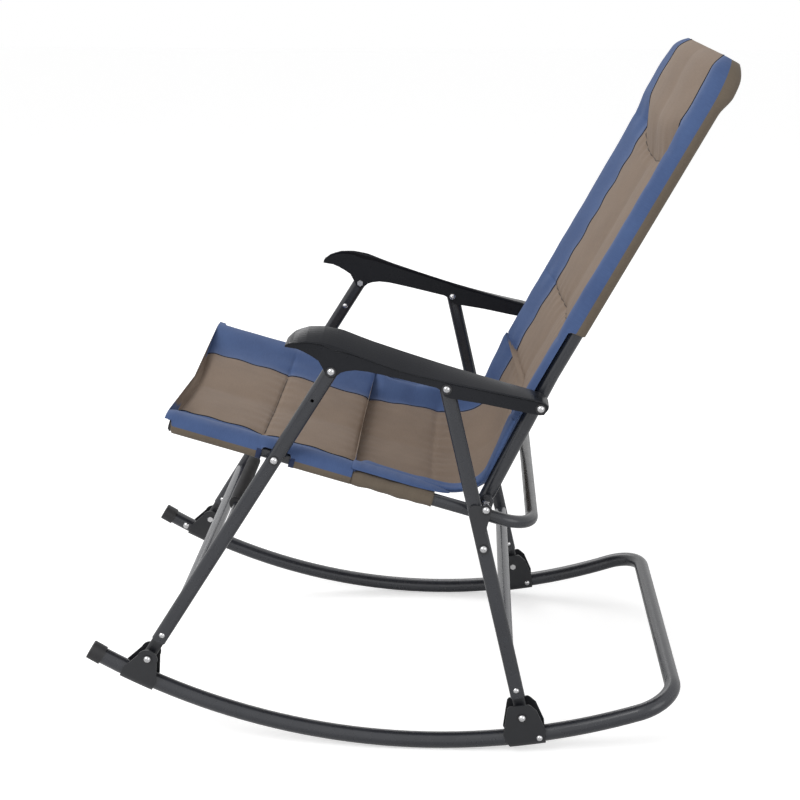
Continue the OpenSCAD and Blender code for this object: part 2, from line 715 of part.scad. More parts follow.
// The middle bolt is two rivets whose ends stop short of the rear leg's hole
module arm_mid_bolts() {
    color("silver") both() {
        bolt(arm_mid, arm_out, leg_out + side_play);
        across(arm_mid, arm_inner - head_h / 2, leg_in - side_play, bolt_d);
        dome(arm_inner, arm_mid, head_d, head_h, -1);
    }
}
module arm_rear_bolts() {
    inner = back_x - back_d / 2 - side_play;
    color("silver") both() {
        bolt(arm_rear, arm_out, inner - head_h);
        across(arm_rear, back_x + back_d / 2 + side_play, arm_inner, collar_d);
        nut(arm_rear, inner - head_h, head_h);
    }
}
module arm_washers() color("#17181b") both()
    for (p = [arm_front, arm_mid, arm_rear]) washer(arm_out, p);

// Back frame
mitre = back_kink_deg / 2;
module back_bars(d, low) {
    half = back_x - back_bend_r;
    both() {
        difference() {
            at_side(hip, back_angle) translate([back_x, -low, 0]) rotate([-90, 0, 0])
                cylinder(d = d, h = low + back_kink_up + back_d, $fn = round);
            at_side(kink_point, back_angle - mitre) translate([back_x - back_d, 0, -back_d])
                cube([2 * back_d, 2 * back_d, 2 * back_d]);
        }
        difference() {
            at_side(kink_point, upper_angle) translate([back_x, -back_d, 0]) rotate([-90, 0, 0])
                cylinder(d = d, h = upper_len - back_bend_r + back_d, $fn = round);
            at_side(kink_point, back_angle - mitre) translate([back_x - back_d, -3 * back_d, -back_d])
                cube([2 * back_d, 3 * back_d, 2 * back_d]);
        }
        at_side(kink_point, upper_angle) translate([half, upper_len - back_bend_r, 0])
            rotate_extrude(angle = 90, $fn = fine) translate([back_bend_r, 0]) circle(d = d, $fn = round);
    }
    at_side(kink_point, upper_angle) translate([-half, upper_len, 0]) rotate([0, 90, 0])
        cylinder(d = d, h = 2 * half, $fn = round);
}
module back_tube() {
    color("#2b2d33") difference() {
        back_bars(back_d, back_tail);
        both() {
            at_side(hip, back_angle) translate([back_x, -back_tail - over, 0]) rotate([-90, 0, 0])
                cylinder(d = back_d - 2 * back_wall, h = back_tail + over + back_kink_up - back_d, $fn = round);
            across(hip, back_x - back_d, back_x + back_d, fixed_hole);
            across(arm_rear, back_x - back_d, back_x + back_d, turning_hole);
        }
    }
}
module back_tube_plugs() {
    inner = back_d - 2 * back_wall - 2 * fit_play;
    color("#17181b") both() at_side(hip, back_angle) translate([back_x, -back_tail, 0]) rotate([90, 0, 0]) {
        cylinder(d = back_d, h = back_wall, $fn = round);
        translate([0, 0, -bolt_d / 2]) cylinder(d = inner, h = bolt_d / 2, $fn = round);
    }
}
lug_out = seat_x - side_play * 6;
module hip_bolts() {
    inner = back_x - back_d / 2;
    color("silver") both() {
        across(hip, inner, leg_in - side_play, bolt_d);
        across(hip, lug_out + side_play, leg_in - side_play, collar_d);
        dome(inner, hip, head_d, head_h, -1);
    }
}

// Seat frame
module seat_tube() {
    half = seat_x - seat_bend_r;
    straight = seat_len + seat_tail - seat_bend_r;
    color("#2b2d33") difference() {
        union() {
            at_side(seat_origin, seat_angle) {
                both() {
                    translate([seat_x, -seat_len, 0]) rotate([-90, 0, 0])
                        cylinder(d = seat_d, h = straight, $fn = round);
                    translate([half, seat_tail - seat_bend_r, 0]) rotate_extrude(angle = 90, $fn = fine)
                        translate([seat_bend_r, 0]) circle(d = seat_d, $fn = round);
                    slab(lug_out - lug_t, lug_out) {
                        translate([-lug_w / 2, 0]) square([lug_w, hip_lug_h]);
                        translate([0, hip_lug_h]) circle(d = lug_w, $fn = fine);
                    }
                }
                translate([-half, seat_tail, 0]) rotate([0, 90, 0])
                    cylinder(d = seat_d, h = 2 * half, $fn = round);
            }
        }
        both() {
            at_side(seat_origin, seat_angle) translate([seat_x, -seat_len - over, 0]) rotate([-90, 0, 0])
                cylinder(d = seat_d - 2 * seat_wall, h = straight + over, $fn = round);
            across(hip, seat_x - seat_d, seat_x + seat_d, turning_hole);
            across(seat_pivot, seat_x - seat_d, seat_x + seat_d, turning_hole);
        }
    }
}
module seat_tube_caps() {
    inner = seat_d - 2 * seat_wall - 2 * fit_play;
    color("#17181b") both() at_side(seat_origin, seat_angle) translate([seat_x, -seat_len, 0])
        rotate([90, 0, 0]) {
            cylinder(d = seat_d + cap_wall, h = cap_wall, $fn = round);
            translate([0, 0, cap_wall]) cylinder(d = seat_d - cap_wall, h = cap_wall, $fn = round);
            translate([0, 0, -cap_len]) cylinder(d = inner, h = cap_len, $fn = round);
        }
}

// Pads. A section has its middle at x = 0 and n = 0 on the tube's centre line.
pad_shares = [0, 0.11, 0.29, 0.45, 0.61, 0.75, 0.88];
roll_shares = [0, 0.12, 0.3, 0.5, 0.7, 0.88, 0.96, 1];
// Upper surface at distance x from the middle
function pad_top(x, half, seam, seam_n, edge_n, roll, mid_n) =
    x > seam
        ? let(t = (x - seam) / (half - seam), bulge = pow(max(0, 1 - pow(abs(2 * t - 1), 3)), 1 / 3))
            mix(seam_n, edge_n, t) + (roll - (seam_n + edge_n) / 2) * bulge
        : let(t = x / seam) mix(mid_n, seam_n, t * t) + (seam_n - mid_n) * 0.35 * sin(180 * pow(t, 0.8));
// Ring of a pad: half width, seam, heights, tube place, depth of the sleeve and of the middle
function pad_ring(half, seam, seam_n, edge_n, roll, mid_n, tube, wrap, low_side, low_mid) = let(
    side = concat(
        [for (t = pad_shares) let(x = seam * t)
            [x, pad_top(x, half, seam, seam_n, edge_n, roll, mid_n)]],
        [for (t = roll_shares) let(x = mix(seam, half, t))
            [x, pad_top(x, half, seam, seam_n, edge_n, roll, mid_n)]],
        [[half + sleeve_side, mix(edge_n, low_side, 0.35)], [half, mix(edge_n, low_side, 0.75)],
         [tube, low_side], [tube - wrap, mix(low_side, edge_n, 0.15)],
         [tube - 2 * wrap, mix(low_side, low_mid, 0.35)], [tube * 0.55, low_mid], [tube * 0.25, low_mid]]
    )
) concat(side, [for (i = [len(side) - 1:-1:1]) [-side[i].x, side[i].y]], []);
sleeve_side = 0.8;

seat_wrap = seat_d / 2 + soft_play + sleeve_t;
seat_pad_half = seat_x + seat_wrap - sleeve_side;
back_wrap = back_d / 2 + soft_play + sleeve_t;
back_pad_half = max(back_pad_half_w, back_x + back_wrap - sleeve_side);

// Plain pads: one section along the whole length, with V-shaped cross seams cut in its middle
front_lift = 6;
back_half_inner = back_x - back_bend_r;
module seam_groove(s, half) {
    translate([-half, 0, 0]) rotate([90, 0, 90]) linear_extrude(2 * half) polygon([
        [s - 2 * channel_w, seam_h + channel_depth], [s, seam_h - sag - channel_depth],
        [s + 2 * channel_w, seam_h + channel_depth]
    ]);
}
module rail_box(s0, s1) {
    translate([seat_x - seat_wrap - over, -s1, -2 * seat_wrap])
        cube([3 * seat_wrap, s1 - s0, 2 * seat_wrap + seat_d / 2 + 3 * soft_play]);
}
seat_section = pad_ring(seat_pad_half, seat_seam_x, seam_h, seam_h + front_lift / 2, roll_h + front_lift / 2,
    seam_h - sag, seat_x, seat_wrap, -seat_wrap, seam_h - sag - pad_t);
module seat_pad() {
    color("#48608a") at_side(seat_origin, seat_angle) {
        difference() {
            translate([0, -hip_seam_seat - soft_play / 2, 0]) rotate([90, 0, 0])
                linear_extrude(seat_pad_len - hip_seam_seat - soft_play / 2) polygon(seat_section);
            seam_groove(-seat_seam_s, seat_seam_x - channel_w);
            both() {
                translate([seat_x, -seat_len, 0]) rotate([-90, 0, 0])
                    cylinder(d = seat_d + 2 * soft_play, h = seat_len - hip_seam_seat + over, $fn = round);
                rail_box(seat_pivot_s - leg_notch, seat_pivot_s + leg_notch);
                rail_box(seat_len - cap_wall * 2, seat_pad_len + over);
            }
        }
        both() translate([seat_x, -hip_seam_seat - soft_play / 2, 0]) rotate([-90, 0, 0]) difference() {
            cylinder(r = seat_wrap - sleeve_side, h = hip_seam_seat + soft_play / 2 - seat_sleeve_s, $fn = round);
            translate([0, 0, -over])
                cylinder(d = seat_d + 2 * soft_play, h = hip_seam_seat + 2 * over - seat_sleeve_s, $fn = round);
        }
    }
}

// Back pad: its outline seen from the front, and a roll over the tube's top run
top_corner = back_bend_r + back_wrap;
corner_steps = 12;
back_outline = let(
    right = [for (i = [0:corner_steps]) let(a = 90 * i / corner_steps)
        [back_pad_half + sleeve_side - top_corner + top_corner * cos(a),
         back_pad_len - back_kink_up - top_corner + top_corner * sin(a)]],
    low = hip_seam_back + soft_play / 2 - back_kink_up
) concat([[back_pad_half + sleeve_side, low]], right,
    [for (i = [corner_steps:-1:0]) [-right[i].x, right[i].y]], [[-back_pad_half - sleeve_side, low]]);
back_section = pad_ring(back_pad_half, back_seam_x, seam_h, seam_h, roll_h, seam_h - sag, back_x, back_wrap,
    -back_wrap, -back_wrap - channel_depth);
module back_pad() {
    color("#48608a") difference() {
        at_side(kink_point, upper_angle) difference() {
            union() {
                intersection() {
                    translate([0, hip_seam_back - back_kink_up - over, 0]) rotate([-90, 0, 0])
                        linear_extrude(back_pad_len - hip_seam_back + 2 * over)
                            polygon([for (q = back_section) [q.x, -q.y]]);
                    translate([0, 0, -3 * back_wrap]) linear_extrude(6 * back_wrap) polygon(back_outline);
                }
                translate([-back_half_inner, upper_len, 0]) rotate([0, 90, 0])
                    cylinder(r = back_wrap + sleeve_t, h = 2 * back_half_inner, $fn = round);
            }
            for (s = [back_seam_s, pillow_seam_s])
                seam_groove(s - back_kink_up, back_seam_x - channel_w);
        }
        back_bars(back_d + 2 * soft_play, back_tail);
        both() at_side(hip, back_angle)
            translate([back_x - back_d / 2 - side_play - 2 * head_h, 0, -3 * back_wrap])
            cube([3 * back_wrap, back_sleeve_s, 3 * back_wrap + back_d / 2 + 3 * soft_play]);
    }
}

// Fold of the pad at the hip: along the seat, round a bend, and up the back
fold_bend_r = 75;
fold_half = seat_x - seat_wrap - sleeve_side;
corner_point = meet(seat_origin, seat_dir, hip, back_dir);
fold_turn = bearing(back_dir) - (bearing(-seat_dir));
fold_set = fold_bend_r * tan(fold_turn / 2);
seat_run = (hip_seam_seat + (seat_origin - corner_point) * seat_dir) - soft_play / 2 - fold_set;
back_run = (hip_seam_back - (corner_point - hip) * back_dir) - side_play * 2 - fold_set;
// Place and turning of the fold at share t of its length
fold_steps = 14;
function fold_frame(t) = let(
    total = seat_run + fold_bend_r * fold_turn * PI / 180 + back_run,
    d = t * total,
    arc = fold_bend_r * fold_turn * PI / 180
) d < seat_run ? [corner_point + seat_dir * (fold_set + seat_run - d), seat_angle]
: d < seat_run + arc ? let(a = (d - seat_run) / arc * fold_turn,
        c = corner_point + seat_dir * fold_set + seat_up * fold_bend_r)
    [c - turn(seat_up, a) * fold_bend_r, seat_angle + a]
: [corner_point + back_dir * (fold_set + d - seat_run - arc), back_angle];
function fold_ring(t) = let(
    fr = fold_frame(t),
    dip = channel_depth * (exp(-pow(t / 0.045, 2)) + exp(-pow((1 - t) / 0.045, 2))),
    side_low = mix(-seat_wrap, back_d / 2 + 2 * soft_play, ease(t / 0.35)),
    ring = pad_ring(fold_half, seat_seam_x, seam_h - dip / 2, side_low + seam_h + 4, roll_h - dip * 0.3,
        seam_h - sag - dip, fold_half - sleeve_side * 4, seat_wrap, side_low, mix(seam_h - sag - pad_t, -back_wrap - channel_depth, t))
) [for (q = ring) let(v = turn([0, q.y], fr[1])) [q.x, fr[0].x + v.x, fr[0].y + v.y]];
module hip_fold() {
    color("#8a7d6e") loft([for (i = [0:fold_steps]) fold_ring(i / fold_steps)]);
}

// Fold links: a strap along the rear leg with a lobe round the hip pivot
link_vec = turn(hip - link_pivot, -bearing(rear_dir));
module fold_link() {
    r = link_w / 2;
    top = norm(hip - link_pivot) + r;
    color("#1d1e22") difference() {
        at_side(link_pivot, bearing(rear_dir)) slab(link_in, link_out) {
            circle(r = r, $fn = fine);
            translate([top - r, 0]) circle(r = r, $fn = fine);
            translate([0, -r]) square([top - r, link_w]);
            translate(link_vec) circle(r = link_lobe_r, $fn = fine);
            polygon([
                [link_vec.x * 0.35, 0], [link_vec.x * 0.45, -r], link_vec + turn([0, -link_lobe_r], -14),
                link_vec + turn([link_lobe_r, 0], 35), [top, -r * 0.2], [top - r, 0]
            ]);
        }
        across(link_pivot, link_in - over, link_out + over, turning_hole);
        across(hip, link_in - over, link_out + over, fixed_hole);
    }
}
module fold_link_left() mirror([1, 0, 0]) fold_link();
module fold_link_right() fold_link();
module link_rivets() {
    color("silver") both() {
        bolt(hip, link_out, leg_in + side_play);
        across(hip, leg_in + side_play, link_in, bolt_d + 8 * fit_play);
    }
}
module link_rivet_washers() color("#17181b") both() washer(link_out, hip);

runner_left();
runner_right();
rear_hoop();
runner_caps();
rear_bracket_left();
rear_bracket_right();
bracket_screws();
rear_foot_bolts();
rear_foot_washers();
stop_rivets();
front_bracket_left();
front_bracket_right();
front_foot_bolts();
front_foot_washers();
front_leg_left();
front_leg_right();
front_tongues();
front_tongue_screws();
front_cross_bar();
carry_bar();
carry_grip();
seat_bolts();
seat_bolt_washers();
upper_screws();
rear_leg_left();
rear_leg_right();
rear_tongues();
rear_tongue_screws();
rear_cross_bar();
link_bolts();
link_bolt_washers();
armrest_left();
armrest_right();
arm_front_bolts();
arm_mid_bolts();
arm_rear_bolts();
arm_washers();
back_tube();
back_tube_plugs();
hip_bolts();
back_pad();
seat_tube();
seat_tube_caps();
seat_pad();
hip_fold();
fold_link_left();
fold_link_right();
link_rivets();
link_rivet_washers();
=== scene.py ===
import json
import math

import bpy
import numpy as np
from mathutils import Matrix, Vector


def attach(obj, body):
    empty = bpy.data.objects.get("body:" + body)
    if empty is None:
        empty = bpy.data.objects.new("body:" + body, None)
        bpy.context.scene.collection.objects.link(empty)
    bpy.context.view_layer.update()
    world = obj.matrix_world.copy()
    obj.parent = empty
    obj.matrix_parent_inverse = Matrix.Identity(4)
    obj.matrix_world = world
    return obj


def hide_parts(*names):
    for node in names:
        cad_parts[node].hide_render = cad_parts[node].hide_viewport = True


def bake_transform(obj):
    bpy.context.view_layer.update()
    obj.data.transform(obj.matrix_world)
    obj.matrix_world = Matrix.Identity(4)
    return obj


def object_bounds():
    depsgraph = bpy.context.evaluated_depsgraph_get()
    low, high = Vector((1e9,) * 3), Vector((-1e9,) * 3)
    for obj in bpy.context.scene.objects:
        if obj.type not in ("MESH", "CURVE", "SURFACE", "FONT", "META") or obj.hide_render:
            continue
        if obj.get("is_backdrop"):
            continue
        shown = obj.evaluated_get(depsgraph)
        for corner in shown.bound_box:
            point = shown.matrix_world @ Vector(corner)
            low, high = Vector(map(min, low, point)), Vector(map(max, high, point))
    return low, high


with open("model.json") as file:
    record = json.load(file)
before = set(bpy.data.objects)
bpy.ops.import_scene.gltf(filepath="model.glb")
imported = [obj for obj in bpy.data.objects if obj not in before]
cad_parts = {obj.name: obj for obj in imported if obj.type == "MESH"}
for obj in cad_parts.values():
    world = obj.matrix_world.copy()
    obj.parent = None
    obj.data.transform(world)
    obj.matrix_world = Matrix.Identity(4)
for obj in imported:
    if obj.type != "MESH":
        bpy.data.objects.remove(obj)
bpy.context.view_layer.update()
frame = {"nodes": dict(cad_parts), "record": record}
nodes = frame["nodes"]
print("frame loaded:", len(nodes), "nodes")

# the camera stands on the chair's +X side, higher than its top
shot = {
    "place": (2.2457, 0.0600, 1.1951), "farClip": 50,  # metres
    "yaw": -2.82095, "down": 17.8256,  # degrees
    "lens": 65.25, "sensor": 36.0,  # millimetres
}


def makeCamera():
    data = bpy.data.cameras.new("camera")
    data.lens = shot["lens"]
    data.sensor_width = shot["sensor"]
    data.clip_end = shot["farClip"]
    cam = bpy.data.objects.new("camera", data)
    bpy.context.scene.collection.objects.link(cam)
    yaw, down = math.radians(shot["yaw"]), math.radians(shot["down"])
    flat = math.cos(down)
    look = Vector((-flat * math.cos(yaw), flat * math.sin(yaw), -math.sin(down)))
    cam.location = shot["place"]
    cam.rotation_mode = "QUATERNION"
    cam.rotation_quaternion = look.to_track_quat("-Z", "Y")
    bpy.context.scene.camera = cam


makeCamera()
bpy.context.scene.view_settings.view_transform = "Standard"


def newMaterial(name):
    mat = bpy.data.materials.new(name)
    mat.use_nodes = True
    tree = mat.node_tree
    tree.nodes.clear()
    out = tree.nodes.new("ShaderNodeOutputMaterial")
    shader = tree.nodes.new("ShaderNodeBsdfPrincipled")
    tree.links.new(shader.outputs[0], out.inputs[0])
    return mat, tree, shader


def addNode(tree, kind, **values):
    # a value goes to the input of that name, or else to the node's own setting
    node = tree.nodes.new(kind)
    for key, value in values.items():
        if key in node.inputs:
            node.inputs[key].default_value = value
        else:
            setattr(node, key, value)
    return node


def setInputs(shader, values):
    for key, value in values.items():
        shader.inputs[key].default_value = value


def mathOf(tree, operation, first, second):
    node = addNode(tree, "ShaderNodeMath", operation=operation)
    tree.links.new(first, node.inputs[0])
    tree.links.new(second, node.inputs[1])
    return node.outputs[0]


def noiseOf(tree, source, scale, detail=3.0, rough=0.55):
    node = addNode(tree, "ShaderNodeTexNoise", Scale=scale, Detail=detail, Roughness=rough)
    tree.links.new(source, node.inputs["Vector"])
    return node.outputs["Fac"]


noiseMiddle = {"From Min": 0.3, "From Max": 0.7}


def remap(tree, value, low, high):
    # the noise's middle part spread over low to high
    node = addNode(tree, "ShaderNodeMapRange")
    setInputs(node, {**noiseMiddle, "To Min": low, "To Max": high})
    tree.links.new(value, node.inputs["Value"])
    return node.outputs[0]


def mixColors(tree, fac, first, second):
    node = addNode(tree, "ShaderNodeMix", data_type="RGBA")
    tree.links.new(fac, node.inputs["Factor"])
    colors = {"A": first, "B": second}
    for socket in node.inputs:
        if socket.type == "RGBA" and socket.name in colors:
            socket.default_value = (*colors[socket.name], 1)
    return next(o for o in node.outputs if o.type == "RGBA")


def bumpOf(tree, height, strength, distance, under=None):
    node = addNode(tree, "ShaderNodeBump", Strength=strength, Distance=distance)
    tree.links.new(height, node.inputs["Height"])
    if under:
        tree.links.new(under, node.inputs["Normal"])
    return node.outputs[0]


# paint, plastic, rubber and metal: cloudy colour and gloss over a fine grain
hardSurface = {
    "cloudScale": 9.0, "cloudDetail": 4.0, "glossScale": 38.0, "glossSpread": 0.06,
    "coatRough": 0.12, "grainDetail": 2.0, "grainStrength": 0.35,
}


def hardMaterial(name, color, worn, rough, grain, metal=0.0, coat=0.0, grainDepth=0.00004, ior=1.5):
    look = hardSurface
    mat, tree, shader = newMaterial(name)
    place = addNode(tree, "ShaderNodeTexCoord").outputs["Object"]
    cloudy = noiseOf(tree, place, look["cloudScale"], look["cloudDetail"])
    tint = mixColors(tree, remap(tree, cloudy, 0.0, 1.0), color, worn)
    tree.links.new(tint, shader.inputs["Base Color"])
    gloss = noiseOf(tree, place, look["glossScale"])
    spread = look["glossSpread"]
    tree.links.new(remap(tree, gloss, rough - spread, rough + spread), shader.inputs["Roughness"])
    setInputs(shader, {"Metallic": metal, "IOR": ior, "Coat Weight": coat,
                       "Coat Roughness": look["coatRough"]})
    fine = noiseOf(tree, place, grain, look["grainDetail"])
    tree.links.new(bumpOf(tree, fine, look["grainStrength"], grainDepth), shader.inputs["Normal"])
    return mat


# plain weave of two crossing thread sets, over cloudy fading, slubs and soft creases
weave = {
    "cloudScale": 14.0, "cloudDetail": 5.0, "cloudRough": 0.6, "cloudShare": 0.7,
    "slubScale": (60.0, 900.0, 1.0), "slubDetail": 2.0, "slubShare": 0.35,
    "threads": 900.0, "wander": 0.6, "threadStrength": 0.3, "threadDepth": 0.00012,
    "creaseScale": 55.0, "creaseDetail": 4.0, "creaseStrength": 0.35, "creaseDepth": 0.0016,
    "smoother": 0.05, "rougher": 0.06, "sheen": 0.06, "sheenRough": 0.5, "specular": 0.3,
}


def clothMaterial(name, color, faded, rough=0.82):
    mat, tree, shader = newMaterial(name)
    place = addNode(tree, "ShaderNodeTexCoord").outputs["UV"]
    solid = addNode(tree, "ShaderNodeTexCoord").outputs["Object"]
    cloudy = noiseOf(tree, solid, weave["cloudScale"], weave["cloudDetail"], weave["cloudRough"])
    slubs = addNode(tree, "ShaderNodeMapping", vector_type="POINT", Scale=weave["slubScale"])
    tree.links.new(place, slubs.inputs["Vector"])
    slub = noiseOf(tree, slubs.outputs[0], 1.0, weave["slubDetail"])
    fading = mathOf(tree, "ADD", remap(tree, cloudy, 0.0, weave["cloudShare"]),
                    remap(tree, slub, 0.0, weave["slubShare"]))
    tree.links.new(mixColors(tree, fading, color, faded), shader.inputs["Base Color"])
    dull = remap(tree, cloudy, rough - weave["smoother"], rough + weave["rougher"])
    tree.links.new(dull, shader.inputs["Roughness"])
    threads = []
    for turn in ("X", "Y"):
        wave = addNode(tree, "ShaderNodeTexWave", wave_type="BANDS", bands_direction=turn,
                       Scale=weave["threads"] / 6.2832, Distortion=weave["wander"])
        tree.links.new(place, wave.inputs["Vector"])
        threads.append(wave.outputs["Fac"])
    cross = mathOf(tree, "MAXIMUM", *threads)
    crease = noiseOf(tree, solid, weave["creaseScale"], weave["creaseDetail"])
    soft = bumpOf(tree, crease, weave["creaseStrength"], weave["creaseDepth"])
    woven = bumpOf(tree, cross, weave["threadStrength"], weave["threadDepth"], soft)
    tree.links.new(woven, shader.inputs["Normal"])
    setInputs(shader, {"Sheen Weight": weave["sheen"], "Sheen Roughness": weave["sheenRough"],
                       "Specular IOR Level": weave["specular"]})
    return mat


hardFinishes = {
    "tubePaint": {"color": (0.019, 0.021, 0.027), "worn": (0.027, 0.029, 0.036),
                  "rough": 0.27, "coat": 0.30, "grain": 260.0, "grainDepth": 0.00003},
    "barPaint": {"color": (0.035, 0.038, 0.049), "worn": (0.047, 0.050, 0.063),
                 "rough": 0.25, "coat": 0.40, "grain": 260.0, "grainDepth": 0.00003},
    "bracketBlack": {"color": (0.011, 0.012, 0.015), "worn": (0.018, 0.019, 0.022),
                     "rough": 0.42, "grain": 700.0},
    "armPlastic": {"color": (0.010, 0.011, 0.014), "worn": (0.015, 0.016, 0.020),
                   "rough": 0.30, "ior": 1.3, "grain": 1500.0, "grainDepth": 0.00006},
    "capRubber": {"color": (0.010, 0.010, 0.012), "worn": (0.018, 0.018, 0.020),
                  "rough": 0.55, "grain": 500.0},
    "washerBlack": {"color": (0.012, 0.012, 0.014), "worn": (0.020, 0.020, 0.023),
                    "rough": 0.45, "grain": 600.0},
    "boltChrome": {"color": (0.66, 0.66, 0.67), "worn": (0.52, 0.52, 0.53),
                   "rough": 0.16, "metal": 1.0, "grain": 300.0, "grainDepth": 0.00001},
    "linkBlack": {"color": (0.014, 0.015, 0.018), "worn": (0.022, 0.023, 0.027),
                  "rough": 0.36, "coat": 0.15, "grain": 500.0},
    "gripFoam": {"color": (0.014, 0.014, 0.016), "worn": (0.024, 0.024, 0.027),
                 "rough": 0.75, "grain": 900.0, "grainDepth": 0.0003},
}
clothFinishes = {
    "taupeCloth": {"color": (0.190, 0.137, 0.100), "faded": (0.242, 0.179, 0.133)},
    "blueCloth": {"color": (0.048, 0.084, 0.198), "faded": (0.073, 0.122, 0.262)},
    "brownCloth": {"color": (0.118, 0.093, 0.068), "faded": (0.152, 0.122, 0.092)},
    "bindingCloth": {"color": (0.016, 0.026, 0.070), "faded": (0.026, 0.040, 0.095)},
    # darker than the taupe cloth: painted shade for the grooves of the cross seams, not the colour of
    # a thread
    "seamShadePaint": {"color": (0.050, 0.036, 0.026), "faded": (0.070, 0.052, 0.038), "rough": 0.8},
    "pipingBlack": {"color": (0.006, 0.006, 0.008), "faded": (0.014, 0.014, 0.016), "rough": 0.7},
}
finish = {name: hardMaterial(name, **look) for name, look in hardFinishes.items()}
finish.update({name: clothMaterial(name, **look) for name, look in clothFinishes.items()})

slotFinish = {
    "steel_tube": "tubePaint", "bent_tube": "tubePaint", "bar_tube": "barPaint",
    "bracket_black": "bracketBlack", "arm_plastic": "armPlastic", "cap_rubber": "capRubber",
    "washer_black": "washerBlack", "bolt_chrome": "boltChrome", "link_black": "linkBlack",
    "grip_foam": "gripFoam",
}


def dressNodes():
    slots = {s["node"]: s["material_slot"] for s in frame["record"]["subparts"]}
    for name, obj in nodes.items():
        key = slotFinish.get(slots.get(name))
        if not key:
            continue
        if not obj.material_slots:
            obj.data.materials.append(finish[key])
        for holder in obj.material_slots:
            holder.material = finish[key]


dressNodes()
print("rigid pieces dressed")

# the chair's own lines, in metres and degrees, in the side plane (y, z)
seatLine = {"start": (0.0835188, 0.381203), "angle": -16.0654, "railX": 0.2575}
backLine = {"start": (0.179674, 0.589893), "angle": 61.9281, "low": 0.212, "railX": 0.236}
hipLine = {"hip": (0.0885, 0.3985), "angle": 64.5281}


def axes(angle):
    a = math.radians(angle)
    return np.array([math.cos(a), math.sin(a)]), np.array([-math.sin(a), math.cos(a)])


def ease(t):
    t = np.clip(t, 0.0, 1.0)
    return t * t * (3 - 2 * t)


def mix(a, b, t):
    return a + (b - a) * t


def bell(s, at, width):
    return np.exp(-(((s - at) / width) ** 2))


# soft even noise made of a few seeded waves
ripple = {"seed": 7, "count": 14, "calm": 5.0}
waves = np.random.default_rng(ripple["seed"])
ripples = [(waves.uniform(-1, 1, 2), waves.uniform(0, 6.28), waves.uniform(0.5, 1.0))
           for _ in range(ripple["count"])]


def ruffle(u, v, scale):
    total = 0
    for direction, phase, weight in ripples:
        total = total + weight * np.sin((u * direction[0] + v * direction[1]) * scale + phase)
    return total / ripple["calm"]


def facesOut(points, faces):
    # the signed volume about the middle says whether the faces look outwards
    points = np.asarray(points, float)
    points = points - points.mean(0)
    total = 0.0
    for face in faces:
        corner = points[face[0]]
        for a, b in zip(face[1:-1], face[2:]):
            total += corner @ np.cross(points[a], points[b])
    return faces if total >= 0 else [tuple(reversed(f)) for f in faces]


def meshFrom(name, points, faces, materials, indices=None, uvs=None, smooth=True):
    mesh = bpy.data.meshes.new(name)
    faces = facesOut(points, faces)
    mesh.from_pydata([tuple(p) for p in points], [], faces)
    for key in materials:
        mesh.materials.append(finish[key])
    if indices is not None:
        mesh.polygons.foreach_set("material_index", np.array(indices, np.int32))
    mesh.polygons.foreach_set("use_smooth", np.full(len(mesh.polygons), smooth))
    if uvs is not None:
        layer = mesh.uv_layers.new(name="cloth")
        corners = np.zeros(len(mesh.loops), np.int32)
        mesh.loops.foreach_get("vertex_index", corners)
        layer.data.foreach_set("uv", np.asarray(uvs, np.float32)[corners].ravel())
    mesh.update()
    obj = bpy.data.objects.new(name, mesh)
    bpy.context.scene.collection.objects.link(obj)
    return obj


def gridFaces(rows, cols, caps=True):
    # rings of cols points, joined row by row
    faces = []
    for r in range(rows - 1):
        for c in range(cols):
            d = (c + 1) % cols
            faces.append((r * cols + c, r * cols + d, (r + 1) * cols + d, (r + 1) * cols + c))
    if caps:
        faces.append(tuple(range(cols - 1, -1, -1)))
        faces.append(tuple((rows - 1) * cols + c for c in range(cols)))
    return faces


def turnsOf(sides):
    return np.arange(sides) / sides * 2 * math.pi


def tubeMesh(name, path, radius, material, sides=8):
    # a thin tube swept along the points, for piping and for the painted seam shade lines
    path = np.asarray(path, float)
    ahead = np.gradient(path, axis=0)
    ahead /= np.linalg.norm(ahead, axis=1)[:, None]
    side = np.cross(ahead, np.array([0.31, 0.2, 0.93]))  # any direction that no seam follows
    side /= np.linalg.norm(side, axis=1)[:, None]
    upward = np.cross(side, ahead)
    turns = turnsOf(sides)
    ring = (np.cos(turns)[None, :, None] * side[:, None, :]
            + np.sin(turns)[None, :, None] * upward[:, None, :])
    points = (path[:, None, :] + radius * ring).reshape(-1, 3)
    run = np.concatenate([[0], np.cumsum(np.linalg.norm(np.diff(path, axis=0), axis=1))])
    uvs = np.stack([np.repeat(run, sides), np.tile(turns * radius, len(path))], 1)
    return meshFrom(name, points, gridFaces(len(path), sides), [material], None, uvs)


def addSubdivision(obj):
    mod = obj.modifiers.new("smooth", "SUBSURF")
    mod.levels = mod.render_levels = 1


# A pad is a stack of closed rings. Each ring runs from the middle of the upper face over the side
# roll, round the rail and back under, and then mirrored. n is the height above the rail's line.
padShape = {
    "faceSteps": 16, "rollSteps": 22, "wrapSteps": 12, "underSteps": 10,
    "crownPower": 0.9, "crestIn": 0.020, "crestWidth": 0.26, "crestLow": 0.3, "crestHigh": 0.95,
    "fallPower": 2.2, "wrapTurn": 0.98, "wrapEase": 3, "railGap": 0.002, "bareAbove": 0.005,
    "spacing": 0.006, "edgeGap": 0.0008, "seamGap": 0.0025, "endGaps": (0.0006, 0.002),
    "endFade": 0.006, "maskFade": 6,
}
partNumber = {"face": 0, "roll": 1, "strip": 2, "under": 3}
padColors = {
    "face": "taupeCloth", "roll": "blueCloth", "strip": "brownCloth", "under": "brownCloth",
}


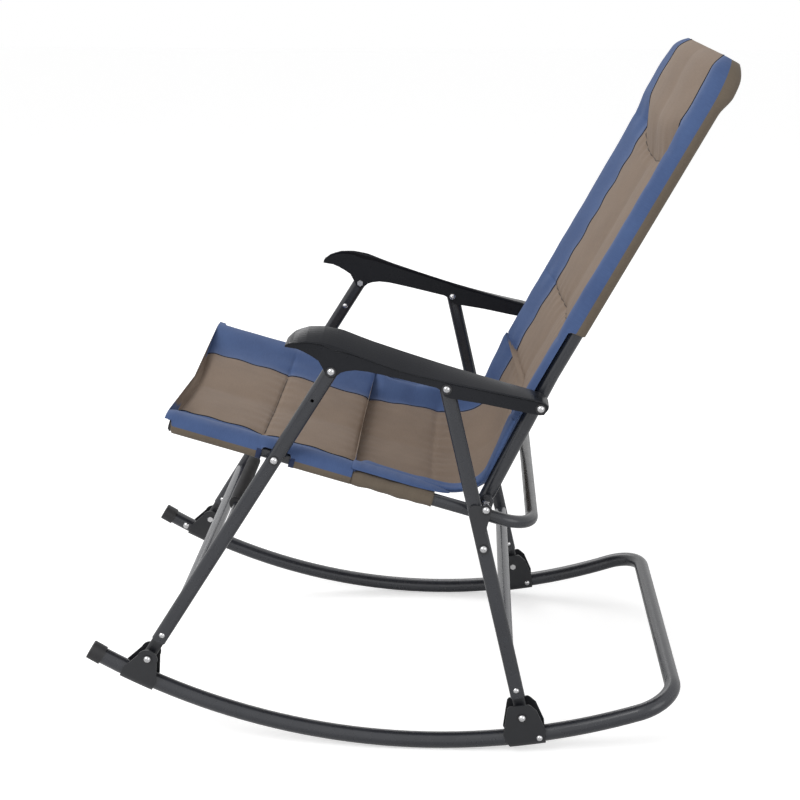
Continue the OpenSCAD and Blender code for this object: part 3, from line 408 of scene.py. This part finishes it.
def ringSteps():
    face = np.linspace(0, 1, padShape["faceSteps"], endpoint=False)
    roll = 0.5 - 0.5 * np.cos(np.linspace(0, math.pi, padShape["rollSteps"]))
    wrap = np.linspace(0, 1, padShape["wrapSteps"] + 1)[1:]
    under = np.linspace(0, 1, padShape["underSteps"] + 1)[1:]
    return face, roll, wrap, under


def halfRing(p, crest):
    face, roll, wrap, under = ringSteps()
    seam, half, power = p["seam"], p["half"], padShape["fallPower"]
    faceX = face * seam
    faceN = p["mid"] + (p["seamN"] - p["mid"]) * face ** 2
    faceN = faceN + p["crown"] * np.sin(math.pi * face) ** padShape["crownPower"]
    rollX = seam + (half - seam) * roll
    crestAt = (half - padShape["crestIn"] * half / padShape["crestWidth"] - seam) / (half - seam)
    crestAt = np.clip(crestAt, padShape["crestLow"], padShape["crestHigh"])
    rise = ease(roll / crestAt) ** p["flank"]
    fall = np.clip((roll - crestAt) / (1 - crestAt), 0, 1)
    rollN = np.where(roll < crestAt, p["seamN"] + (crest - p["seamN"]) * rise,
                     p["edgeN"] + (crest - p["edgeN"]) * (1 - fall ** power) ** (1 / power))
    start = math.atan2(p["edgeN"], half - p["railX"])
    turn = start - wrap * (start + math.pi * padShape["wrapTurn"])
    reach = mix(half - p["railX"], p["wrapR"], np.clip(wrap * padShape["wrapEase"], 0, 1))
    wrapX = p["railX"] + reach * np.cos(turn)
    wrapN = reach * np.sin(turn)
    underX = mix(wrapX[-1], 0.0, under)
    underN = mix(wrapN[-1], p["under"], np.sin(under * math.pi / 2) ** p["underCurve"])
    x = np.concatenate([faceX, rollX, wrapX, underX])
    n = np.concatenate([faceN, rollN, wrapN, underN])
    counts = (len(faceX), len(rollX), len(wrapX), len(underX))
    part = np.repeat([float(number) for number in partNumber.values()], counts)
    if p["clear"] is not None:
        # no sleeve here: the pad stays above the bare rail
        beyond = x > p["railX"] - p["wrapR"] - padShape["railGap"]
        n = np.where(beyond, np.maximum(n, p["clear"]), n)
    return x, n, part


def wholeRing(p):
    # the two side rolls stand at slightly different heights
    x, n, part = halfRing(p, p["roll"])
    far = halfRing(p, p["rollFar"])[1]
    return (np.concatenate([x, -x[-2:0:-1]]), np.concatenate([n, far[-2:0:-1]]),
            np.concatenate([part, part[-2:0:-1]]))


def partBetween(one, two):
    # the cloth between two neighbours of a ring; the strip reaches up to both of its neighbours
    pair = {int(one), int(two)}
    return partNumber["strip"] if partNumber["strip"] in pair else min(pair)


def buildPad(name, stations, ringAt, placeAt):
    shapes = [ringAt(s) for s in stations]
    rows = [wholeRing(shape) for shape in shapes]
    clears = [shape["clear"] for shape in shapes]
    bare = [clear is not None and clear > padShape["bareAbove"] for clear in clears]
    part = rows[0][2]
    cols, middle = len(part), len(rows) // 2
    across = np.array([r[0] for r in rows])
    height = np.array([r[1] for r in rows])
    along = np.repeat(np.asarray(stations)[:, None], cols, 1)
    points = placeAt(across, along, height)
    girth = np.hypot(np.diff(across[middle]), np.diff(height[middle]))
    around = np.concatenate([[0], np.cumsum(girth)])
    uvs = np.stack([np.repeat(around[None, :], len(rows), 0).ravel(), along.ravel()], 1)
    indices = []
    for r in range(len(rows) - 1):
        for c in range(cols):
            kind = partBetween(part[c], part[(c + 1) % cols])
            uncovered = kind == partNumber["strip"] and bare[r] and bare[r + 1]
            indices.append(partNumber["roll"] if uncovered else kind)
    indices += [partNumber["face"]] * 2  # the two end caps
    obj = meshFrom(name, points.reshape(-1, 3), gridFaces(len(rows), cols),
                   [padColors[key] for key in partNumber], indices, uvs)
    return {"obj": obj, "across": across, "along": along, "cols": cols, "stations": stations}


# puckers that run into the sewn lines, and soft lumps of the filling
folds = {
    "lump": {"depth": 0.0011, "scale": 26.0},
    "fine": {"depth": 0.0006, "scale": 75.0, "stretch": 1.7},
    "crossSeam": {"depth": 0.0016, "reach": 0.022, "spacing": 0.034,
                  "stray": 2.4, "stretch": 0.4, "scale": 18.0},
    "sideSeam": {"depth": 0.0007, "reach": 0.018, "spacing": 0.052,
                 "stray": 3.2, "stretch": 0.3, "scale": 13.0},
}


def puckers(q, distance, run, other):
    stray = q["stray"] * ruffle(run, other * q["stretch"], q["scale"])
    wave = np.sin(run * 2 * math.pi / q["spacing"] + stray)
    return q["depth"] * np.exp(-distance / q["reach"]) * wave


def wrinkle(across, along, seams, seamX, amount=1.0):
    lump, fine = folds["lump"], folds["fine"]
    total = (lump["depth"] * ruffle(across, along, lump["scale"])
             + fine["depth"] * ruffle(along * fine["stretch"], across, fine["scale"]))
    for at in seams:
        total = total + puckers(folds["crossSeam"], np.abs(along - at), across, along)
    distance = np.abs(np.abs(across) - seamX)
    total = total + puckers(folds["sideSeam"], distance, along, across)
    return total * amount


def topMask():
    # 1 on the face and roll, fading to 0 at the strip round the rail
    face, roll, wrap, under = ringSteps()
    fading = np.clip((1 - roll) * padShape["maskFade"], 0, 1)
    half = np.concatenate([np.ones(len(face)), fading, np.zeros(len(wrap) + len(under))])
    return np.concatenate([half, half[-2:0:-1]])


def pushOut(pad, depth, fade):
    # moves the upper face and rolls along their normals
    mesh = pad["obj"].data
    count = len(mesh.vertices)
    normals, places = np.zeros(count * 3, np.float32), np.zeros(count * 3, np.float32)
    mesh.vertices.foreach_get("normal", normals)
    mesh.vertices.foreach_get("co", places)
    push = depth * topMask()[None, :] * fade
    moved = places.reshape(-1, 3) + normals.reshape(-1, 3) * push.ravel()[:, None]
    mesh.vertices.foreach_set("co", moved.astype(np.float32).ravel())
    mesh.update()
    pad["grid"] = moved.reshape(-1, pad["cols"], 3)


# a sewn line: a narrow crease in the middle of a broad soft dip
sewn = {"creaseShare": 0.55, "creaseWide": 0.45, "dipShare": 0.45, "dipWide": 2.6}


def pinch(s, seams, depth, wide):
    q = sewn
    return depth * sum(q["creaseShare"] * bell(s, at, wide * q["creaseWide"])
                       + q["dipShare"] * bell(s, at, wide * q["dipWide"]) for at in seams)


def stationsFor(low, high, step, extra):
    base = list(np.arange(low, high, step)) + [high]
    return np.array(sorted(set(round(float(v), 5) for v in base + extra)))


def atEdges(*edges):
    # one station shortly before and one shortly after each sharp change
    gap = padShape["edgeGap"]
    return [edge + shift for edge in edges for shift in (-gap, gap)]


def aroundSeam(at):
    gap = padShape["seamGap"]
    return [at - gap, at, at + gap]


def atRear(rear):
    return [rear + gap for gap in padShape["endGaps"]]


seatPad = {
    "front": 0.486, "rear": 0.200, "half": 0.2700, "thick": 0.016, "sag": 0.009, "crown": 0.005,
    "seamX": 0.155, "seamN": -0.012, "edgeN": 0.002, "roll": 0.0190, "rollFar": 0.0125, "flank": 1.4,
    "crossSeam": 0.345, "channel": 0.0065, "channelWide": 0.0060,
    "dipSeam": 0.6, "dipRoll": 0.2, "dipFar": 0.15,
    "wrapR": 0.0125, "notch": (0.2935, 0.3375), "tubeEnd": 0.474, "bottomClear": 0.0109,
    "underCurve": 0.6, "closing": 0.016, "midClosed": -0.026, "seamClosed": -0.016,
    "underClosed": -0.030, "rollClosed": 0.004, "farClosed": 0.0005, "wrapClosed": 0.25,
    "lipStart": 0.400, "lipRun": 0.086, "frontFar": 0.009, "farReach": 0.20,
    "hollow": 0.007, "hollowX": 0.22,
    "nose": [0.480, 0.4825, 0.4845, 0.4855], "smooth": 0.02, "fill": 0.5,
}


def placeSeat(across, along, height):
    # the front edge hangs back between the rails and reaches further on the far side
    q = seatPad
    run, up = axes(seatLine["angle"])
    share = ease((along - q["lipStart"]) / q["lipRun"])
    hollow = q["hollow"] * (1 - np.clip(np.abs(across) / q["hollowX"], 0, 1) ** 2)
    along = along + share * (q["frontFar"] * ease(-across / q["farReach"]) - hollow)
    y = seatLine["start"][0] - along * run[0] + height * up[0]
    z = seatLine["start"][1] - along * run[1] + height * up[1]
    return np.stack([across, y, z], -1)


def seatRing(s):
    q = seatPad
    dip = pinch(s, [q["crossSeam"], q["rear"]], q["channel"], q["channelWide"])
    close = 1 - ease((q["front"] - s) / q["closing"]) ** 0.5
    bareRail = q["notch"][0] < s < q["notch"][1] or s > q["tubeEnd"]
    return {
        "seam": q["seamX"], "half": q["half"], "edgeN": q["edgeN"], "railX": seatLine["railX"],
        "mid": mix(q["seamN"] - q["sag"] - dip, q["midClosed"], close),
        "seamN": mix(q["seamN"] - dip * q["dipSeam"], q["seamClosed"], close),
        "crown": q["crown"] * (1 - close), "flank": q["flank"],
        "roll": q["roll"] - dip * q["dipRoll"] - q["rollClosed"] * close,
        "rollFar": q["rollFar"] - dip * q["dipFar"] - q["farClosed"] * close,
        "wrapR": q["wrapR"] * (1 - q["wrapClosed"] * close),
        "under": mix(q["seamN"] - q["sag"] - q["thick"], q["underClosed"], close),
        "underCurve": q["underCurve"], "clear": q["bottomClear"] if bareRail else None,
    }


def seatStations():
    q = seatPad
    extra = atEdges(*q["notch"], q["tubeEnd"]) + aroundSeam(q["crossSeam"])
    extra += q["nose"] + atRear(q["rear"])
    return stationsFor(q["rear"], q["front"], padShape["spacing"], extra)


backPad = {
    "top": 0.712, "rear": 0.128, "half": 0.2505, "corner": 0.074, "cornerSquash": 0.94,
    "sag": 0.009, "crown": 0.005, "seamX": 0.150, "seamN": 0.000, "edgeN": 0.002,
    "seamShare": (0.30, 0.70), "seamShift": 0.02, "seamRun": 0.085,
    "roll": 0.0205, "rollFar": 0.0140, "rollLeast": 0.001,
    "flank": 1.4, "flankPillow": 0.8, "flankRun": 0.05,
    "crossSeam": 0.262, "channel": 0.0060, "channelWide": 0.0060, "dipSeam": 0.5, "dipRoll": 0.3,
    "wrapR": 0.0140, "sleeve": 0.283, "bottomClear": 0.0126, "under": -0.021, "underCurve": 0.6,
    "pillow": 0.566, "pillowSeamX": 0.186, "pillowDip": 0.8, "puff": 0.0165, "puffRun": 0.045,
    "puffMid": 1.55, "puffRoll": 0.08, "puffFar": 0.3,
    "droop": 0.034, "droopX": 0.165, "droopPower": 2.4, "droopRun": 0.045,
    "coverStart": 0.627, "coverRun": 0.044, "coverMid": 0.020, "coverSeam": 0.0170,
    "closing": 0.024, "closedShare": 0.40, "wrapClosed": 0.6,
    "bendStart": 0.640, "bendRun": 0.030, "bendWrap": 1.5, "bendUnder": 1.08, "bendCurve": 0.2,
    "crest": [0.7065, 0.709, 0.7105, 0.7115], "smooth": 0.02, "fill": 0.5,
}


def placeBack(across, along, height):
    # the pillow's lower seam hangs down between its rounded corners
    q = backPad
    droop = q["droop"] * (1 - np.clip(np.abs(across) / q["droopX"], 0, 1) ** q["droopPower"])
    along = along - droop * bell(along, q["pillow"], q["droopRun"])
    run, up = axes(backLine["angle"])
    d = along - backLine["low"]
    y = backLine["start"][0] + d * run[0] + height * up[0]
    z = backLine["start"][1] + d * run[1] + height * up[1]
    return np.stack([across, y, z], -1)


def cornerIn(s):
    # how far the upper corner draws in from the side
    corner = backPad["corner"]
    d = max(0.0, s - (backPad["top"] - corner))
    return corner - math.sqrt(max(0.0, corner ** 2 - d * d * backPad["cornerSquash"]))


def backRing(s):
    q = backPad
    dip = (pinch(s, [q["crossSeam"], q["rear"]], q["channel"], q["channelWide"])
           + q["pillowDip"] * pinch(s, [q["pillow"]], q["channel"], q["channelWide"]))
    puff = q["puff"] * ease((s - q["pillow"]) / q["puffRun"])
    cover = ease((s - q["coverStart"]) / q["coverRun"])
    close = 1 - ease((q["top"] - s) / q["closing"]) ** 0.5
    half = q["half"] - cornerIn(s)
    narrow = half / q["half"]
    thin = mix(1, q["closedShare"], close)
    bend = ease((s - q["bendStart"]) / q["bendRun"])
    widen = ease((s - q["pillow"] + q["seamShift"]) / q["seamRun"])
    fixed, following = q["seamShare"]
    dipRoll, least = dip * q["dipRoll"], q["rollLeast"]
    return {
        "seam": mix(q["seamX"], q["pillowSeamX"], widen) * (fixed + following * narrow),
        "half": half, "edgeN": q["edgeN"], "railX": backLine["railX"] * narrow,
        "mid": mix(q["seamN"] - q["sag"] + puff * q["puffMid"] - dip, q["coverMid"], cover) * thin,
        "seamN": mix(q["seamN"] + puff - dip * q["dipSeam"], q["coverSeam"], cover) * thin,
        "crown": q["crown"] * thin,
        "flank": mix(q["flank"], q["flankPillow"], ease((s - q["pillow"]) / q["flankRun"])),
        "roll": (q["roll"] + puff * q["puffRoll"] - dipRoll) * thin + least,
        "rollFar": (q["rollFar"] + puff * q["puffFar"] - dipRoll) * thin + least,
        "wrapR": q["wrapR"] * mix(1, q["bendWrap"], bend) * mix(1, q["wrapClosed"], close),
        "under": q["under"] * mix(1, q["bendUnder"], bend) * thin,
        "underCurve": mix(q["underCurve"], q["bendCurve"], bend),
        "clear": q["bottomClear"] if s < q["sleeve"] else None,
    }


def backStations():
    q = backPad
    extra = atEdges(q["sleeve"]) + aroundSeam(q["crossSeam"]) + aroundSeam(q["pillow"])
    extra += q["crest"] + atRear(q["rear"])
    return stationsFor(q["rear"], q["top"], padShape["spacing"], extra)


def fadeBetween(along, low, lowRun, high, highRun):
    # 1 along the pad, and 0 at both ends
    return ease((high - along) / highRun) * ease((along - low) / lowRun)


endFade = padShape["endFade"]
seat = buildPad("seatCushion", seatStations(), seatRing, placeSeat)
fade = fadeBetween(seat["along"], seatPad["rear"], endFade, seatPad["front"], seatPad["smooth"])
seatSeams = [seatPad["crossSeam"], seatPad["rear"]]
pushOut(seat, wrinkle(seat["across"], seat["along"], seatSeams, seatPad["seamX"]), fade)
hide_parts("seat_pad")
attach(seat["obj"], "seat_frame")

back = buildPad("backCushion", backStations(), backRing, placeBack)
fade = fadeBetween(back["along"], backPad["rear"], endFade, backPad["top"], backPad["smooth"])
backSeams = [backPad["crossSeam"], backPad["rear"], backPad["pillow"]]
pushOut(back, wrinkle(back["across"], back["along"], backSeams, backPad["seamX"]), fade)
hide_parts("back_pad")
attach(back["obj"], "back_frame")
print("seat and back cushions made")

# the hip fold runs along the seat, round a bend and up the back
fold = {
    "bend": 0.075, "steps": 72, "seatGap": 0.0008, "backGap": 0.0004,
    "half": 0.2445, "halfStart": 0.2695, "tuck": 0.06, "waist": 0.004, "waistAt": (0.55, 0.25),
    "seamX": 0.186, "seamIn": 0.35, "seamTurn": 0.5, "seamOut": 0.62, "seamOutRun": 0.38,
    "shareStart": 0.05, "shareRun": 0.9, "swell": 0.0035, "endWide": 0.04,
    "channel": {"at": 0.92, "depth": 0.004, "wide": 0.006},
    "low": -0.0125, "high": 0.0110, "lowRun": 0.35, "liftRun": 0.3,
    "rollDip": 0.002, "rollDipAt": (0.5, 0.3), "rollUp": 0.0075, "farUp": 0.0065,
    "edgeLeast": 0.002, "edgeUp": 0.003, "railIn": 0.0125, "wrapR": 0.0115, "bareClear": 0.0125,
    "flank": 1.3, "crownShare": 0.8, "underCurve": 0.6, "leanFrom": 0.5,
    "wrinkleX": 0.165, "wrinkles": 1.3, "blendShare": 0.6, "fill": 0.45,
}


def foldPath():
    # straight off the seat, an arc of radius bend about centre, and straight up the back
    run, up = axes(seatLine["angle"])
    climb = axes(hipLine["angle"])[0]
    seatStart, hip = np.array(seatLine["start"]), np.array(hipLine["hip"])
    ahead = -run
    cross = ahead[0] * climb[1] - ahead[1] * climb[0]
    gap = hip - seatStart
    corner = seatStart + ahead * ((gap[0] * climb[1] - gap[1] * climb[0]) / cross)
    turn = math.radians(hipLine["angle"] - seatLine["angle"])
    inset = fold["bend"] * math.tan(turn / 2)
    seatRun = seatPad["rear"] + float((seatStart - corner) @ ahead) - inset + fold["seatGap"]
    backRun = backPad["rear"] - float((corner - hip) @ climb) - inset + fold["backGap"]
    arc = fold["bend"] * turn
    return {
        "corner": corner, "ahead": ahead, "up": up, "climb": climb, "inset": inset, "arc": arc,
        "seatRun": seatRun, "backRun": backRun, "total": seatRun + arc + backRun,
        "centre": corner + ahead * inset + up * fold["bend"],
    }


foldLine = foldPath()


def foldFrame(d):
    # place and direction of the fold's line at distance d from the seat pad
    if d < foldLine["seatRun"]:
        place = foldLine["corner"] + foldLine["ahead"] * (foldLine["inset"] + foldLine["seatRun"] - d)
        return place, math.radians(seatLine["angle"])
    if d < foldLine["seatRun"] + foldLine["arc"]:
        a = (d - foldLine["seatRun"]) / fold["bend"]
        c, s = math.cos(a), math.sin(a)
        up = foldLine["up"]
        spoke = np.array([up[0] * c - up[1] * s, up[0] * s + up[1] * c])
        return foldLine["centre"] - spoke * fold["bend"], math.radians(seatLine["angle"]) + a
    climbed = foldLine["inset"] + d - foldLine["seatRun"] - foldLine["arc"]
    return foldLine["corner"] + foldLine["climb"] * climbed, math.radians(hipLine["angle"])


def foldRing(d):
    q = fold
    t = float(np.clip(d / foldLine["total"], 0, 1))
    first, last = seatRing(seatPad["rear"]), backRing(backPad["rear"])
    share = ease((t - q["shareStart"]) / q["shareRun"])
    shared = ("mid", "seamN", "crown", "roll", "rollFar", "under")
    p = {key: mix(first[key], last[key], share) for key in shared}
    ends = bell(t, 0.0, q["endWide"]) + bell(t, 1.0, q["endWide"])
    channel = q["channel"]
    dip = pinch(d, [foldLine["seatRun"] * channel["at"]], channel["depth"], channel["wide"])
    for key in ("mid", "seamN"):
        p[key] += q["swell"] * (1 - ends) - dip
    half = mix(q["halfStart"], q["half"], ease(t / q["tuck"])) - q["waist"] * bell(t, *q["waistAt"])
    if t < q["seamTurn"]:
        seam = mix(seatPad["seamX"], q["seamX"], ease(t / q["seamIn"]))
    else:
        seam = mix(q["seamX"], backPad["seamX"], ease((t - q["seamOut"]) / q["seamOutRun"]))
    low = mix(q["low"], q["high"], ease(t / q["lowRun"]))
    lifted = mix(q["low"], q["high"], ease((t - q["tuck"]) / q["liftRun"]))
    dipped = p["roll"] - q["rollDip"] * bell(t, *q["rollDipAt"])
    p.update({
        "half": half, "seam": seam, "railX": half - q["railIn"], "wrapR": q["wrapR"],
        "roll": max(dipped, low + q["rollUp"]), "rollFar": max(p["rollFar"], low + q["farUp"]),
        "flank": q["flank"], "underCurve": q["underCurve"], "crown": p["crown"] * q["crownShare"],
        "edgeN": max(q["edgeLeast"], low + q["edgeUp"]),
        "clear": q["bareClear"] if t < q["tuck"] else lifted,
    })
    return p


def placeFold(across, along, height):
    # the last stretch leans over to the back pad's own line
    endPlace = foldFrame(foldLine["total"])[0]
    front = axes(hipLine["angle"])[1]
    seen = placeBack(np.array([0.2]), np.array([backPad["rear"]]), np.array([0.0]))[0][1:]
    proud = float((seen - endPlace) @ front)
    lean = math.radians(hipLine["angle"] - backLine["angle"])
    seatRun, bendRun = foldLine["seatRun"], foldLine["arc"] * fold["leanFrom"]
    leanRun = foldLine["total"] - seatRun - bendRun
    rows = []
    for x, d, n in zip(across, along[:, 0], height):
        place, angle = foldFrame(float(d))
        u = float(ease((d - seatRun - bendRun) / leanRun))
        n = n + proud * u
        angle = angle - lean * u
        y, z = place[0] - n * math.sin(angle), place[1] + n * math.cos(angle)
        rows.append(np.stack([x, y, z], -1))
    return np.array(rows)


foldTotal = foldLine["total"]
near, far = padShape["endGaps"]
foldEnds = [near, far, foldTotal - far, foldTotal - near]
foldStations = stationsFor(0.0, foldTotal, foldTotal / fold["steps"], foldEnds)
hip = buildPad("hipCushion", foldStations, foldRing, placeFold)
fade = fadeBetween(hip["along"], 0.0, endFade, foldTotal, endFade)
hipSeams = [0.0, foldTotal, foldLine["seatRun"]]
depth = wrinkle(hip["across"], hip["along"], hipSeams, fold["wrinkleX"], fold["wrinkles"])
pushOut(hip, depth, fade)
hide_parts("hip_fold")
print("hip fold made")

for pad in (seat, back, hip):
    addSubdivision(pad["obj"])

# black piping on the lengthwise seams
piping = {
    "radius": 0.0009,
    "lift": {
        "seat": (0, 0.0001, 0.0003), "back": (0, -0.0003, 0.0001), "hip": (0, -0.0002, 0.0002),
    },
}


def pipeAlong(word, pad, side):
    column = padShape["faceSteps"] if side == "Left" else pad["cols"] - padShape["faceSteps"]
    line = pad["grid"][:, column] + np.array(piping["lift"][word])
    pipe = tubeMesh(word + "Piping" + side, line, piping["radius"], "pipingBlack")
    return pipe


hipPieces = [hip["obj"]]
for side in ("Left", "Right"):
    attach(pipeAlong("seat", seat, side), "seat_frame")
    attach(pipeAlong("back", back, side), "back_frame")
    hipPieces.append(pipeAlong("hip", hip, side))

# fabric that crosses the hip joint belongs to neither frame: its placement is baked into the mesh
for obj in hipPieces:
    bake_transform(obj)
print("piping sewn on")

# painted shade: a thin dark line along each stitched cross seam, from the middle of the face to near
# each side seam, stands for the shade in the seam's groove
seamShadeLine = {"radius": 0.0008, "sides": 6, "columns": 15}


def paintSeamShade(name, pad, at, body, lift):
    row = pad["grid"][int(np.argmin(np.abs(pad["stations"] - at)))]
    count = seamShadeLine["columns"]
    line = np.concatenate([row[-count:], row[:count + 1]]) + np.array(lift)
    # the line's dark colour is painted shade for the seam's groove
    shadeStroke = tubeMesh(name, line, seamShadeLine["radius"], "seamShadePaint", seamShadeLine["sides"])
    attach(shadeStroke, body)


paintSeamShade("seatSeamShade", seat, seatPad["crossSeam"], "seat_frame", (0, 0.0001, 0.0004))
paintSeamShade("backSeamShade", back, backPad["crossSeam"], "back_frame", (0, -0.0004, 0.0002))
paintSeamShade("pillowSeamShade", back, backPad["pillow"], "back_frame", (0, -0.0004, 0.0002))

# side rolls that run on over the seat rails behind the cross seam
railRoll = {
    "start": 0.2045, "end": 0.054, "steps": 44, "sides": 26, "x": 0.2500, "wide": 0.0175,
    "n": {1: 0.0150, -1: 0.0122}, "high": {1: 0.0048, -1: 0.0018},  # at +X and at -X
    "inward": 0.004, "drop": 0.0022, "flatUnder": 0.35,
    "taperPower": 4.5, "taperRound": 0.6, "taperLeast": 0.05,
    "tight": {"depth": 0.05, "rate": 330}, "loose": {"depth": 0.04, "rate": 171, "phase": 1},
}


def makeRailRoll(name, side):
    q = railRoll
    steps = np.linspace(q["start"], q["end"], q["steps"])
    turns = turnsOf(q["sides"])
    flat = np.where(np.sin(turns) < 0, q["flatUnder"], 1.0)
    tight, loose = q["tight"], q["loose"]
    rows = []
    for s in steps:
        t = (q["start"] - s) / (q["start"] - q["end"])
        taper = max(q["taperLeast"], (1 - t ** q["taperPower"])) ** q["taperRound"]
        pucker = (1 + tight["depth"] * math.sin(s * tight["rate"])
                  + loose["depth"] * math.sin(s * loose["rate"] + loose["phase"]))
        x = side * (q["x"] + q["wide"] * taper * np.cos(turns) - q["inward"] * t)
        n = (q["n"][side] - q["drop"] * ease(t)
             + q["high"][side] * taper * pucker * np.sin(turns) * flat)
        rows.append(placeSeat(x, np.full(q["sides"], s), n))
    points = np.array(rows).reshape(-1, 3)
    uvs = np.stack([np.tile(turns * q["wide"], len(steps)), np.repeat(steps, q["sides"])], 1)
    obj = meshFrom(name, points, gridFaces(len(steps), q["sides"]), ["blueCloth"], None, uvs)
    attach(obj, "seat_frame")
    addSubdivision(obj)


makeRailRoll("railRollLeft", 1)
makeRailRoll("railRollRight", -1)

# rear sleeves on the seat rails, and dark bindings at the cut-outs
sleeves = {
    "sides": 28, "spacing": 0.004, "leastRings": 4, "wall": 0.0012,
    "lobes": 3, "twist": 90, "swells": 210,
    "rear": {"low": 0.0765, "high": 0.2010, "material": "brownCloth", "radius": 0.0119,
             "ripple": 0.0005},
    "binding": {"material": "bindingCloth", "radius": 0.0132, "ripple": 0.0001},
    "bindingsAt": ((0.2865, 0.2945), (0.3365, 0.3445)),
}


def makeSleeve(name, side, low, high, material, radius, ripple):
    q = sleeves
    count = max(q["leastRings"], int((high - low) / q["spacing"]))
    steps = np.linspace(low, high, count)
    sides = q["sides"]
    turns = turnsOf(sides)
    outer = []
    for s in steps:
        swell = (radius + ripple * np.sin(turns * q["lobes"] + s * q["twist"])
                 + ripple * math.sin(s * q["swells"]))
        x = side * (seatLine["railX"] + swell * np.cos(turns))
        outer.append(placeSeat(x, np.full(sides, s), swell * np.sin(turns)))
    points = np.array(outer).reshape(-1, 3)
    uvs = np.stack([np.tile(turns * radius, count), np.repeat(steps, sides)], 1)
    obj = meshFrom(name, points, gridFaces(count, sides, caps=False), [material], None, uvs)
    wall = obj.modifiers.new("wall", "SOLIDIFY")
    wall.thickness, wall.offset = q["wall"], -1
    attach(obj, "seat_frame")


for side, word in ((1, "Left"), (-1, "Right")):
    makeSleeve("rearSleeve" + word, side, **sleeves["rear"])
    for number, (low, high) in enumerate(sleeves["bindingsAt"]):
        makeSleeve("binding%s%d" % (word, number), side, low, high, **sleeves["binding"])
print("sleeves and bindings made")

studio = {
    "floorSize": 14.0, "floorColor": (0.86, 0.86, 0.86), "floorRough": 0.9, "floorSpecular": 0.1,
    "glow": 0.50, "sky": 0.55, "aim": (0, 0, 0.5),
    "lamps": {
        "keyLamp": {"place": (2.2, -2.0, 3.0), "size": 2.2, "power": 62},
        "fillLamp": {"place": (2.6, 2.4, 1.6), "size": 2.4, "power": 18},
        "farLamp": {"place": (-2.4, -0.8, 2.6), "size": 2.0, "power": 26},
    },
}


def makeFloor():
    # only the camera sees the floor's own glow, so the object's shadow stays on white
    size = studio["floorSize"]
    corners = [(-size, -size, 0), (size, -size, 0), (size, size, 0), (-size, size, 0)]
    floor = meshFrom("floor", corners, [(0, 1, 2, 3)], [], smooth=False)
    mat, tree, shader = newMaterial("floorPale")
    setInputs(shader, {"Base Color": (*studio["floorColor"], 1), "Roughness": studio["floorRough"],
                       "Specular IOR Level": studio["floorSpecular"]})
    ray = tree.nodes.new("ShaderNodeLightPath")
    glow = tree.nodes.new("ShaderNodeEmission")
    lift = addNode(tree, "ShaderNodeMath", operation="MULTIPLY")
    lift.inputs[1].default_value = studio["glow"]
    tree.links.new(ray.outputs["Is Camera Ray"], lift.inputs[0])
    tree.links.new(lift.outputs[0], glow.inputs["Strength"])
    both = tree.nodes.new("ShaderNodeAddShader")
    tree.links.new(shader.outputs[0], both.inputs[0])
    tree.links.new(glow.outputs[0], both.inputs[1])
    out = next(n for n in tree.nodes if n.type == "OUTPUT_MATERIAL")
    tree.links.new(both.outputs[0], out.inputs[0])
    floor.data.materials.append(mat)
    floor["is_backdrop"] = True


def makeWorld():
    # white for the camera, gloss and glass, and a dimmer sky for the light itself
    world = bpy.data.worlds.new("studio")
    bpy.context.scene.world = world
    world.use_nodes = True
    tree = world.node_tree
    tree.nodes.clear()
    out = tree.nodes.new("ShaderNodeOutputWorld")
    ray = tree.nodes.new("ShaderNodeLightPath")
    white = (1, 1, 1, 1)
    plain = addNode(tree, "ShaderNodeBackground", Color=white, Strength=studio["sky"])
    shown = addNode(tree, "ShaderNodeBackground", Color=white, Strength=1.0)
    seen = ray.outputs["Is Camera Ray"]
    for word in ("Is Glossy Ray", "Is Transmission Ray"):
        seen = mathOf(tree, "MAXIMUM", seen, ray.outputs[word])
    pick = tree.nodes.new("ShaderNodeMixShader")
    tree.links.new(seen, pick.inputs[0])
    tree.links.new(plain.outputs[0], pick.inputs[1])
    tree.links.new(shown.outputs[0], pick.inputs[2])
    tree.links.new(pick.outputs[0], out.inputs[0])


def makeLamp(name, place, size, power):
    data = bpy.data.lights.new(name, "AREA")
    data.shape = "DISK"
    data.size = size
    data.energy = power
    lamp = bpy.data.objects.new(name, data)
    bpy.context.scene.collection.objects.link(lamp)
    lamp.location = place
    lamp.rotation_mode = "QUATERNION"
    lamp.rotation_quaternion = (Vector(studio["aim"]) - Vector(place)).to_track_quat("-Z", "Y")


makeFloor()
makeWorld()
for name, lamp in studio["lamps"].items():
    makeLamp(name, **lamp)
print("stage and lamps set")

low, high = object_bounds()
